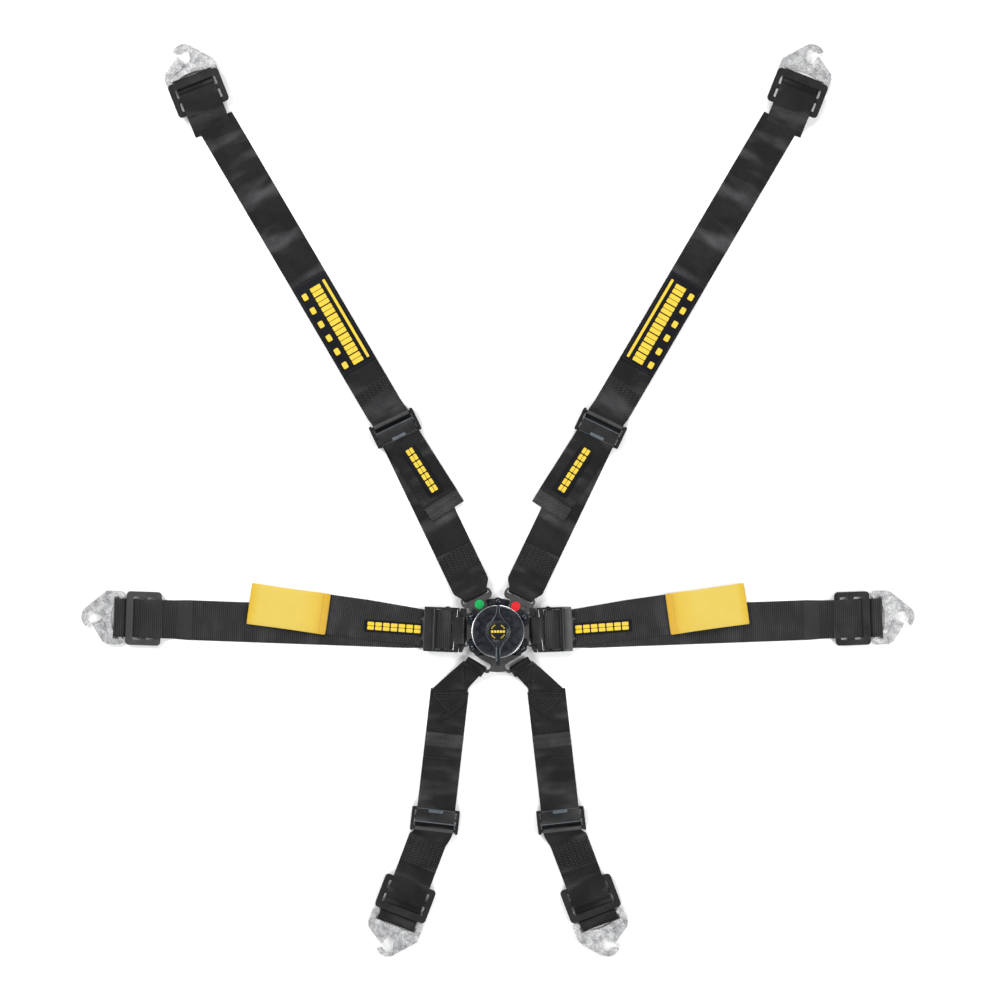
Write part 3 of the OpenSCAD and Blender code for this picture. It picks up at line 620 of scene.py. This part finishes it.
def hem(name, strap, s, half, z):
    """Turned-over end of a strap: a thick fold with two ridges across it, 18 mm back from s, in the lighter
    webbing that paints sheen on it.
    """
    path = []
    steps = 24
    for k in range(steps + 1):
        f = k / steps
        ridge = 0.9 * math.exp(-((f - 0.36) / 0.09) ** 2) + 0.9 * math.exp(-((f - 0.78) / 0.1) ** 2)
        path.append((s - 18 * f, z + 0.25 + ridge))
    return ribbon(name, strip(strap, path, half, 0.8), 1.7, SHEEN_WEBBING)


def through_adjuster():
    """Side path under an adjuster's front bar, round its lock bar and back out on top; s = 0 is its centre."""
    lock_z = 6.2
    return ([(-20, FLOOR), (-14, FLOOR), (-7, lock_z - LOOP_R - 0.3)] + arc((-1.9, lock_z), LOOP_R, -90, 90)
            + [(-8, lock_z + LOOP_R), (-13, 7.4), (-17, 6.6)])


def sewn_loop(start, end):
    """Side path of webbing doubled round an adjuster's rear bar: upper layer from start, lower layer to end."""
    bar_s, bar_z = 11, 4.7
    return ([(start, SECOND), (40, SECOND), (26, SECOND), (14, bar_z + LOOP_R - 0.4)]
            + arc((bar_s, bar_z), LOOP_R, 90, 270) + [(12, 1.0), (20, FLOOR), (end, FLOOR)])


def turning(first, second, path):
    """Stations that follow one strap's direction through the adjuster and turn into the next one's after it."""
    out = []
    for s, z in evenly(path, 2.0):
        f = eased((s - 12) / 16)
        out.append(tuple(first.at(s, y, z).lerp(second.at(s, y, z), f) for y in (WEB_HALF, -WEB_HALF)))
    return out


def adjuster_trim(name, adj, body):
    """Top of a strap adjuster: dark cover with a front edge, ridge and tab in a lighter grey and a lighter rear
    band, all painted highlights on the black frame, and a floor.
    """
    def plate(label, box, *rest):
        dress(plan_shape(f"{name}_{label}", adj, round_box(*box), *rest), body)

    plate("cover", (-13.6, 2.6, -24.6, 24.6, 1.2), 10.9, 11.8, BLACK_STEEL, 0.35)
    # lighter rods along the front edge and the ridge: painted highlights
    for label, s, radius in (("front_edge", -13.3, 0.5), ("ridge", 3.0, 0.6)):
        line = [adj.at(s, y, 11.3) for y in (-24.4, 0, 24.4)]
        dress(rod(f"{name}_{label}", line, radius, EDGE_HIGHLIGHT), body)
    # tab in the lighter grey: painted highlight
    plate("tab", (-13.2, -9.6, -9, 9, 0.6), 11.7, 12.2, EDGE_HIGHLIGHT, 0.2)
    # rear band in a lighter grey: painted highlight
    plate("rear_band", (9.4, 13.6, -24.2, 24.2, 0.8), 9.05, 9.7, SLIDE_GREY, 0.3)
    plate("floor", (-4, 9, -24.4, 24.4, 0.5), 1.5, 2.0, BLACK_STEEL, 0.1, 1)


# ---------- straps ----------
def shoulder(side):
    body = f"shoulder_strap_{side}"
    low = joint_strap(f"shoulder_strap_fold_{side}", side)
    lock = middle(f"shoulder_lock_bar_{side}")
    centre = lock + low.out * (2 * MM)
    adj = Strap(centre, low.out, side)
    slide_mid = middle(f"shoulder_slide_{side}")
    top = joint_strap(f"shoulder_hook_tilt_{side}", side)
    end = Strap(slide_mid, top.out, side)
    upper = Strap(centre, slide_mid - centre, side)
    reach = (centre - low.o).length / MM
    run = (slide_mid - centre).length / MM

    def taper(s):
        """Gathered to 16.2 mm at the tongue's bar, at full width 13 mm further out."""
        return 16.2 + (WEB_HALF - 16.2) * eased((s + 2) / 15)

    loop = ([(62, SECOND), (34, SECOND), (20, 4.2), (8, BAR_Z + LOOP_R - 0.6), (1.5, BAR_Z + LOOP_R)]
            + arc((0, BAR_Z), LOOP_R, 90, 270) + [(1.5, BAR_Z - LOOP_R), (14, FLOOR), (60, FLOOR)]
            + [(reach + s, z) for s, z in through_adjuster()])
    web = ribbon(f"shoulder_lower_webbing_{side}", strip(low, rounded_path(loop, 1), taper), WEB_T, WEBBING)
    dress(web, body, f"shoulder_lower_web_{side}")

    # the free end turns in from the strap below it
    tail_angle = math.radians(6.8)
    swing = 1 if side == "left" else -1
    out = Vector((adj.out.x * math.cos(tail_angle) - swing * adj.out.y * math.sin(tail_angle),
                  swing * adj.out.x * math.sin(tail_angle) + adj.out.y * math.cos(tail_angle), 0))
    tail = Strap(centre, out, side)
    tail_path = rounded_path([(-12, 7.9), (-17, 6.7), (-26, 4.4), (-38, 2.6), (-60, 2.25), (-108, 2.25)], 2)
    free = ribbon(f"shoulder_free_end_{side}", strip(tail, tail_path), WEB_T, WEBBING)
    dress(free, body)
    dress(hem(f"shoulder_hem_{side}", tail, -105, WEB_HALF - 0.2, 2.5), body)
    label_box = round_box(-97, -27, -9.5, 9.5, 1.5)
    dress(plan_shape(f"shoulder_label_{side}", tail, label_box, 2.9, 4.3, RUBBER, 0.5), body)
    dress(blocks(f"shoulder_label_print_{side}", tail, -93, -31, -4.6, 4.6, 7, 4.28), body)
    hem_rows = [[(s, -22), (s, 22)] for s in (-104, -101)]
    dress(stitches(f"shoulder_hem_thread_{side}", tail, hem_rows, 3.0), body)

    adjuster_trim(f"shoulder_adjuster_{side}", adj, body)

    # sewn zone by the tongue
    dress(stitches(f"shoulder_tongue_thread_{side}", low,
                   zigzag(24, 60, -21, 21, 7, 9) + [box_line(22, 61, -22, 22)], SEWING), body)

    # upper strap, with a printed patch of lines, blocks and dashes
    path = rounded_path(sewn_loop(150, run - 40), 1)
    strap = ribbon(f"shoulder_upper_webbing_{side}", turning(adj, upper, path), WEB_T, WEBBING)
    dress(strap, body, f"shoulder_upper_web_{side}")
    dress(stitches(f"shoulder_adjuster_thread_{side}", upper,
                   zigzag(26, 62, -21, 21, 7, 9) + [box_line(24, 63, -22, 22)], SEWING), body)
    patch_box = round_box(88, 215, -23.4, 23.4, 2)
    dress(plan_shape(f"shoulder_patch_{side}", upper, patch_box, 2.7, 3.5, RUBBER, 0.3), body)
    low_z, high_z = 3.48, 3.8

    def printed(name, box):
        return plan_shape(name, upper, round_box(*box), low_z, high_z, PRINT, 0.1, 1)

    dress(printed(f"shoulder_patch_line_{side}", (94, 206, -18, -14.6, 1.2)), body)
    band = blocks(f"shoulder_patch_band_{side}", upper, 94, 204, -9.7, 4.5, 8, low_z, gap=1.6, across=True)
    dress(band, body)
    pitch = 19.7
    dashes = [printed(f"dash{k}", (95.2 + pitch * k, 103.8 + pitch * k, 11, 17.6, 1.6)) for k in range(6)]
    dress(join(dashes, f"shoulder_patch_dashes_{side}"), body)
    border = [box_line(90, 213, -21.4, 21.4)]
    dress(stitches(f"shoulder_patch_thread_{side}", upper, border, 3.5, 3.0, 0.25), body)

    slide = ribbon(f"shoulder_slide_webbing_{side}", strip(end, slide_loop(15.9, 9.3, -50)), WEB_T, WEBBING)
    dress(slide, body)


def lap(side):
    body = f"lap_strap_{side}"
    strap = joint_strap(f"lap_strap_fold_{side}", side)
    slide_mid = middle(f"lap_slide_{side}")
    reach = (slide_mid - strap.o).length / MM
    end = Strap(slide_mid, strap.out, side)

    def lap_ribbon(name, line, path, half):
        return ribbon(f"{name}_{side}", strip(line, path, half, LAP_STEP), WEB_T, RIBBED, rib=LAP_RIB)

    # the webbing rolls round the lock roller from below
    roller = (22, 6.6)
    wide, deep = 8.6, 5.6
    roll = [(roller[0] + wide * math.cos(math.radians(a)), roller[1] + deep * math.sin(math.radians(a)))
            for a in range(285, 62, -9)]
    path = ([(reach - 34, FLOOR), (60, FLOOR), (30, FLOOR)] + roll
            + [(30.5, 9.6), (36, 7.6), (42, 5.2), (48, 3.6), (56, 2.6)])

    def lap_half(s):
        """Wider between the adjuster and the slide."""
        return WEB_HALF + 0.9 * clamp((s - 50) / 20) * clamp((reach - 36 - s) / 20)

    dress(lap_ribbon("lap_webbing", strap, path, lap_half), body, f"lap_web_{side}")

    # free end, which lies under the pull loop, and its label
    hinge = joint_strap(f"pull_loop_flip_{side}", side)
    pulled = Strap((0, 0), hinge.out, side)
    pulled.o = hinge.at(0, PULL_ASIDE, 0)
    free_path = rounded_path([(-118, 3.0), (-112, 2.5), (-106, 2.25), (22, 2.25)], 2)

    def free_half(s):
        return WEB_HALF - 1.2 + 2.2 * clamp((s + 118) / 70)

    dress(lap_ribbon("lap_free_end", pulled, free_path, free_half), body)
    turn = 1 if side == "left" else -1
    tilt = math.radians(4.3)
    label = Strap((-turn * 95.1 * MM, 1.9 * MM), (-turn * math.cos(tilt), math.sin(tilt)), side)
    dress(plan_shape(f"lap_label_{side}", label, round_box(0, 72, -7.4, 7.4, 1.5), 2.9, 3.9, RUBBER, 0.3), body)
    dress(blocks(f"lap_label_print_{side}", label, 1.6, 68.2, -4.9, 4.9, 7, 3.88), body)
    dress(lap_ribbon("lap_slide_webbing", end, slide_loop(28.6, 3.1, -60), WEB_HALF), body)

    # adjuster trim: a bright steel rod along the cover's edge as a painted highlight, grey lip with two points,
    # cover, ears on the tongue, wire end
    edge = [strap.at(s, y, 11.6) for s, y in ((6.2, -25.8), (10.4, 25.8))]
    dress(rod(f"lap_cover_edge_{side}", edge, 0.45, STEEL), body)
    half_lip = [(43.6, 23.6), (48.6, 23.0), (47.6, 17), (49.4, 13.6), (53.0, 12.4), (49.2, 10.4)]
    lip = [(s, -y) for s, y in half_lip] + [(48.4, 0)] + half_lip[::-1]
    dress(plan_shape(f"lap_lip_{side}", strap, lip, 6.6, 8.6, SLIDE_GREY, 0.4), body)
    cover_box = round_box(-1.5, 9.4, -16.4, 16.4, 0.8)
    dress(plan_shape(f"lap_cover_{side}", strap, cover_box, 11.4, 12.3, BLACK_STEEL, 0.3), body)
    outlines = [round_box(-5.2, 3.0, -27.4, -17.3, 1.2),
                [(-5.2, 17.3), (-4.8, 18.6), (-1.4, 27.0), (-0.4, 27.8), (3.0, 27.8), (3.0, 17.3)]]
    ears = [plan_shape(f"ear{k}", strap, outline, 6.0, 9.9, BLACK_STEEL, 0.5)
            for k, outline in enumerate(outlines)]
    dress(join(ears, f"lap_tongue_ears_{side}"), "buckle")
    wire = []
    for k in range(11):
        bow = math.sin(math.pi * k / 10)
        wire.append(strap.at(14 + 0.9 * k, -26 - 2.6 * bow, 8.2 + 2.4 * bow))
    dress(rod(f"lap_wire_{side}", wire, 0.8, BLACK_STEEL), body)

    # yellow pull loop: a flat loop, bulged on top, with a row of sewing across its start
    pull = f"pull_loop_{side}"
    low, high = 4.1, 6.4
    far = PULL_LEN
    bulge = rounded_path([(far - 2, low), (50, low), (3, low + 0.1), (0.7, (low + high) / 2), (3, high),
                          (30, high + 0.5), (60, high + 0.9), (far - 12, high + 0.7), (far - 5, high + 0.1),
                          (far - 0.8, (low + high) / 2 + 0.1), (far - 3, low + 0.05), (far - 14, low + 0.1)])

    def waist(s):
        """Slightly narrower in the middle, with rounded corners at the start."""
        corner = max(0.0, 3.0 - s) ** 2 / 3.0
        return 25.9 - 0.5 * math.sin(math.pi * clamp(s / far)) - 0.6 * min(corner, 3)

    loop = ribbon(f"pull_loop_webbing_{side}", strip(pulled, bulge, waist, 1.0), 1.3, YELLOW_WEB)
    dress(loop, pull, f"pull_loop_{side}")
    row = [[(9, -24), (9, 24)]]
    dress(stitches(f"pull_loop_thread_{side}", pulled, row, 7.3, 2.6, 0.3, material=YELLOW_THREAD), pull)


def crotch(side):
    body = f"crotch_strap_{side}"
    turn = 1 if side == "left" else -1
    bar = joint_strap(f"crotch_strap_fold_{side}", side)
    lock = middle(f"crotch_lock_bar_{side}")
    axis = JOINTS[f"crotch_lock_slide_{side}"]["axis"]
    adj_out = Vector((axis[0], axis[1], 0)) * (1 if axis[1] < 0 else -1)
    centre = lock + adj_out * (2 * MM)
    adj = Strap(centre, adj_out, side)
    slide_mid = middle(f"crotch_slide_{side}")
    top = joint_strap(f"crotch_hook_tilt_{side}", side)
    end = Strap(slide_mid, top.out, side)
    lower = Strap(centre, slide_mid - centre, side)
    run = (slide_mid - centre).length / MM

    def spot(x, y, z):
        """A point in plan millimetres, x outwards from the buckle's middle."""
        return Vector((-turn * x * MM, y * MM, z * MM))

    def between(rows):
        """Stations between rows of (left edge, right edge, height) given in plan."""
        out = []
        for (l0, r0, z0), (l1, r1, z1) in zip(rows, rows[1:]):
            parts = max(2, int(math.dist(l0, l1) / 1.5))
            for k in range(parts):
                f = k / parts
                mix = [a + (b - a) * f for a, b in zip((*l0, *r0, z0), (*l1, *r1, z1))]
                out.append((spot(mix[0], mix[1], mix[4]), spot(mix[2], mix[3], mix[4])))
        last = rows[-1]
        return out + [(spot(*last[0], last[2]), spot(*last[1], last[2]))]

    # webbing folded narrow at the tongue's bar, opening to its full width at the bend
    bar.o = bar.o + Vector((-turn * 3.2 * MM, 1.9 * MM, 0))
    loop = ([(4.6, BAR_Z + LOOP_R), (1.5, BAR_Z + LOOP_R)] + arc((0, BAR_Z), LOOP_R, 90, 270)
            + [(1.5, BAR_Z - LOOP_R), (10, 2.0)])
    nose = ribbon(f"crotch_tongue_webbing_{side}", strip(bar, rounded_path(loop, 1), 13.6, 1.0), 1.6, WEBBING)
    dress(nose, body)
    folded = between([((43.4, -37.0), (19.6, -51.8), 10.9), ((49.4, -42.6), (24.9, -57.8), 6.6),
                      ((58.8, -50.9), (31.4, -64.8), 3.7), ((68.6, -59.8), (37.0, -71.2), 2.5),
                      ((83.6, -73.6), (37.6, -73.4), 1.7), ((84.6, -86.0), (38.6, -84.6), FLOOR)])
    dress(ribbon(f"crotch_folded_webbing_{side}", folded, 2.2, WEBBING), body, f"crotch_upper_web_{side}")
    # the strap's own edge folded across: a flap with a sewn edge, and the crease that runs down from it
    flap = between([((45.0, -40.6), (43.6, -39.6), 9.9), ((57.2, -51.6), (43.0, -50.4), 6.2),
                    ((69.6, -62.8), (42.4, -61.6), 4.4), ((82.4, -74.4), (41.8, -73.4), 3.3)])
    dress(ribbon(f"crotch_flap_{side}", flap, 1.2, WEBBING), body)
    ridge = [spot(41.2, -36.6, 11.8), spot(33.0, -41.6, 12.0), spot(21.4, -49.2, 11.8)]
    dress(rod(f"crotch_ridge_{side}", ridge, 0.7, WEBBING), body)
    crease = between([((39.4, -77.6), (38.2, -88.0), 2.6), ((50.0, -86.5), (46.0, -96.0), 2.5),
                      ((62.0, -98.5), (58.0, -106.0), 2.3), ((76.0, -111.0), (73.5, -113.6), 2.0)])
    dress(ribbon(f"crotch_crease_{side}", crease, 1.3, WEBBING), body)
    bend = spot(60.3, -73.8, 0)
    path = ([(-(bend - centre).length / MM, FLOOR), (-40, FLOOR)] + through_adjuster()
            + [(-25, 4.4), (-36, 2.5), (-60, SECOND), (-93, SECOND)])
    dress(ribbon(f"crotch_upper_webbing_{side}", strip(adj, rounded_path(path, 1), 23.8, 1.5), WEB_T, WEBBING),
          body)
    dress(hem(f"crotch_hem_{side}", adj, -91, 23.6, 2.4), body)

    adjuster_trim(f"crotch_adjuster_{side}", adj, body)
    # two ridges across the hem, in the lighter webbing as painted sheen
    for k, s in enumerate((-92, -77.5)):
        line = [adj.at(s, y, 3.2) for y in (-23.4, 0, 23.4)]
        dress(rod(f"crotch_fold_line_{side}_{k}", line, 0.6, SHEEN_WEBBING), body)

    # sewing, in plan with y towards the hooks: two rows down the fold, slanting rows in the triangles below and
    # above the bend; each follows the slope of the webbing under it
    ground = Strap((0, 0), (-turn, 0), side)
    ground.lat = Vector((0, -1, 0))
    dress(stitches(f"crotch_fold_thread_{side}", ground, [[(43.4, 45), (42.4, 73.4)]],
                   lambda s, y: 9.6 - 5.5 * clamp((y - 43) / 28), 2.6, 0.42), body)
    dress(stitches(f"crotch_edge_thread_{side}", ground, [[(45.4, 46.6), (44.4, 73.4)]],
                   lambda s, y: 9.5 - 5.4 * clamp((y - 43) / 28), 2.6, 0.36), body)
    border = [[(81, 78), (42, 77.5)], [(80, 80), (63, 99)], [(63, 99), (42, 79)]]
    lower_rows = [[(80 - 34 * f, 79.5), (66 - 24 * f - 2 * abs(f - 0.4), 96 - 15 * f)]
                  for f in (k / 9 for k in range(10))]
    dress(stitches(f"crotch_bend_thread_{side}", ground, lower_rows + border,
                   lambda s, y: 1.9 + 1.6 * clamp((87 - y) / 9), 2.4, 0.36), body)
    upper_rows = [[(26 + 14 * f, 52.5 - 5.5 * f), (31 + 8.5 * f, 61 + 7.5 * f)]
                  for f in (k / 7 for k in range(8))]
    dress(stitches(f"crotch_tongue_thread_{side}", ground, upper_rows,
                   lambda s, y: 11.6 - 7.6 * clamp((0.5 * s + y - 64) / 18), 2.2, 0.34), body)

    # lower strap
    path = rounded_path(sewn_loop(62, run - 32), 1)
    dress(ribbon(f"crotch_lower_webbing_{side}", turning(adj, lower, path), WEB_T, WEBBING), body,
          f"crotch_lower_web_{side}")
    dress(stitches(f"crotch_thread_{side}", lower,
                   zigzag(26, 58, -21, 21, 7, 8) + [box_line(24, 60, -22, 22)], SEWING), body)
    dress(ribbon(f"crotch_slide_webbing_{side}", strip(end, slide_loop(27.4, 3.1, -46)), WEB_T, WEBBING), body)


# ---------- buckle ----------
def revolve(name, profile, material, count=96):
    """A turned piece about Z from a profile of (radius, z) points in millimetres."""
    bm = bmesh.new()
    rings = []
    for r, z in profile:
        if r == 0:
            rings.append([bm.verts.new((0, 0, z * MM))])
        else:
            turns = [2 * math.pi * k / count for k in range(count)]
            rings.append([bm.verts.new((r * MM * math.cos(a), r * MM * math.sin(a), z * MM)) for a in turns])
    for a, b in zip(rings, rings[1:]):
        for k in range(count):
            n = (k + 1) % count
            corners = [a[k % len(a)], a[n % len(a)], b[n % len(b)], b[k % len(b)]]
            unique = [v for i, v in enumerate(corners) if v not in corners[:i]]
            if len(unique) > 2:
                bm.faces.new(unique)
    bmesh.ops.recalc_face_normals(bm, faces=bm.faces)
    return finish_mesh(bm, name, material, 32)


def buckle():
    plan = Strap((0, 0), (0, 1), "left")
    # dial: domed gloss disc with a thin rim
    profile = [(9, 20.4), (30.5, 20.3), (32.6, 20.6), (33.0, 21.2), (32.9, 23.0), (32.2, 23.9), (31.4, 24.1),
               (30.8, 23.8), (28.5, 24.2), (24, 24.7), (18, 25.0), (9, 25.0), (9, 20.4)]
    dress(revolve("dial_disc", profile, DIAL), "dial", "release_dial")
    profile = [(32.2, 23.8), (32.75, 24.0), (32.9, 23.4), (33.0, 22.8), (32.6, 22.6), (32.2, 23.8)]
    dress(revolve("dial_rim", profile, STEEL), "dial")
    # raised teardrop round the badge: it runs into the ridge at the top and the lever at the bottom
    half = ([(31.7, 1.7), (25, 1.8), (21.4, 2.5), (18.4, 4.3), (15.6, 6.4)] + arc((0, 0), 15.0, 31, 149, 26)
            + [(-15.6, 6.6), (-18.6, 4.7), (-21.5, 3.5), (-25, 3.1), (-32, 3.0)])
    outline = half + [(s, -y) for s, y in half[::-1]]
    dress(plan_shape("dial_teardrop", plan, outline, 24.0, 26.3, DIAL, 0.8, 4), "dial")
    # a lighter rod along the teardrop's edge: painted highlight
    edge_line = [plan.at(s, y, 25.7) for s, y in outline + outline[:1]]
    dress(rod("teardrop_edge", edge_line, 0.42, EDGE_HIGHLIGHT), "dial")
    outline = ([(-16, -2.6), (-24, -2.9), (-40.6, -2.9)] + arc((-40.6, 0), 2.9, 270, 90, 10)
               + [(-24, 2.9), (-16, 2.6)])
    dress(plan_shape("dial_lever", plan, outline, 21.2, 27.7, DIAL, 1.4, 5), "dial")
    # a lighter rod along the lever's top: painted highlight
    shine = [plan.at(s, 1.9, 27.35) for s in (-19, -24, -30, -37)]
    dress(rod("lever_edge", shine, 0.85, EDGE_HIGHLIGHT), "dial")

    # badge: a ring, a face, and a plain print of four short arcs of dots and five bars
    profile = [(12.3, 26.1), (12.5, 26.55), (13.0, 26.7), (13.5, 26.55), (13.7, 26.1), (12.3, 26.1)]
    dress(revolve("badge_ring", profile, DIAL), "dial")
    profile = [(0, 26.75), (9.5, 26.7), (11.4, 26.55), (12.2, 26.2), (12.2, 25.6), (0, 25.6)]
    dress(revolve("badge_face", profile, BADGE), "dial", "dial_badge")
    pieces = []
    dot_ring = 8.7
    for k in (k for k in range(24) if k % 6 in (2, 3, 4)):
        angle = math.radians(15 * k)
        dot = arc((dot_ring * math.cos(angle), dot_ring * math.sin(angle)), 0.75, 0, 330, 11)
        pieces.append(plan_shape(f"dot{k}", plan, dot, 26.6, 26.95, PRINT, 0.1, 1))
    for k in range(5):
        y = -7.2 + 3.6 * k
        bar = round_box(-1.5, 1.5, y - 1.45, y + 1.45, 0.5, 3)
        pieces.append(plan_shape(f"bar{k}", plan, bar, 26.62, 26.98, PRINT, 0.1, 1))
    dress(join(pieces, "badge_print"), "dial")

    # domed rivet heads in the housing's lobes, each in a ring
    rivet_ring = 37.0
    profile = [(0, 15.2), (1.4, 15.1), (2.7, 14.6), (3.6, 13.8), (4.0, 12.9), (4.1, 12.6), (4.6, 12.9),
               (5.1, 12.9), (5.4, 12.5), (5.4, 12.2), (0, 12.2)]
    domes = []
    for degrees in (90, 152, 28, 214, 326):
        angle = math.radians(degrees)
        place = Vector((math.cos(angle), math.sin(angle), 0)) * rivet_ring * MM
        dome = revolve("dome", profile, HOUSING, 40)
        dome.data.transform(Matrix.Translation(place))
        domes.append(dome)
    dress(join(domes, "rivet_domes"), "buckle")

    for node, material in (("buckle_back_plate", PLATE), ("crotch_tongue", PLATE), ("buckle_housing", HOUSING)):
        soften(node, material, 0.35)
    for side in SIDES:
        soften(f"shoulder_tongue_{side}", PLATE, 0.45)
        soften(f"lap_tongue_{side}", PLATE, 0.45)


def hardware(side):
    for kind in ("shoulder", "lap", "crotch"):
        soften(f"{kind}_hook_{side}", ZINC, 0.4)
        soften(f"{kind}_gate_{side}", ZINC, 0.15)
        grey = kind == "lap" and side == "left"      # the photo shows one slide lighter than the others
        soften(f"{kind}_slide_{side}", SLIDE_GREY if grey else BLACK_STEEL, 0.7)
        soften(f"{kind}_adjuster_frame_{side}", BLACK_STEEL, 0.4)


for side_name in SIDES:
    shoulder(side_name)
    lap(side_name)
    crotch(side_name)
    hardware(side_name)
buckle()

# CAD nodes that are shown as they are
PLAIN = {"spindle": STEEL, "dial_spring": STEEL, "cam_ring": STEEL, "latch_pins": STEEL, "latch_springs": STEEL,
         "housing_rivets": HOUSING, "marker_green": GREEN, "marker_red": RED}
for side_name in SIDES:
    for kind_name in ("shoulder", "lap", "crotch"):
        PLAIN[f"{kind_name}_lock_bar_{side_name}"] = BLACK_STEEL
for node_name, finish in PLAIN.items():
    piece = frame["nodes"][node_name]
    for slot_index in range(len(piece.material_slots)):
        piece.material_slots[slot_index].material = finish


# ---------- floor, light, camera ----------
def stage():
    bpy.ops.mesh.primitive_plane_add(size=6, location=(0, 0.15, -0.0002))
    floor = bpy.context.object
    floor.name = "floor"
    mat, _, _ = new_material("floor", (0.93, 0.93, 0.93), 0.9, spec=0.1)
    floor.data.materials.append(mat)
    world = bpy.data.worlds.new("soft")
    world.use_nodes = True
    world.node_tree.nodes["Background"].inputs[0].default_value = (0.95, 0.97, 1, 1)
    world.node_tree.nodes["Background"].inputs[1].default_value = 0.3
    bpy.context.scene.world = world
    for name, spot, size, power in (("key", (-1.9, 1.5, 1.9), 1.4, 70), ("fill", (2.0, -0.3, 2.0), 1.6, 52),
                                    ("top", (0.3, 2.4, 1.6), 1.2, 30), ("front", (-0.5, -2.0, 1.9), 1.5, 34)):
        light = bpy.data.lights.new(name, "AREA")
        light.shape = "DISK"
        light.size = size
        light.energy = power
        obj = bpy.data.objects.new(name, light)
        obj.location = spot
        obj.rotation_euler = (Vector((0, 0.16, 0)) - Vector(spot)).to_track_quat("-Z", "Y").to_euler()
        bpy.context.scene.collection.objects.link(obj)


def camera():
    """Looks straight down from far enough that the harness is almost flat, as in the photo."""
    height = 6.0
    width = 1.25        # metres across the picture
    cam = bpy.data.cameras.new("camera")
    cam.sensor_width = 36
    cam.lens = cam.sensor_width * height / width
    cam.clip_end = 50
    obj = bpy.data.objects.new("camera", cam)
    obj.location = (0.0025, 0.16375, height)
    bpy.context.scene.collection.objects.link(obj)
    bpy.context.scene.camera = obj


stage()
camera()
bpy.context.scene.view_settings.view_transform = "Standard"
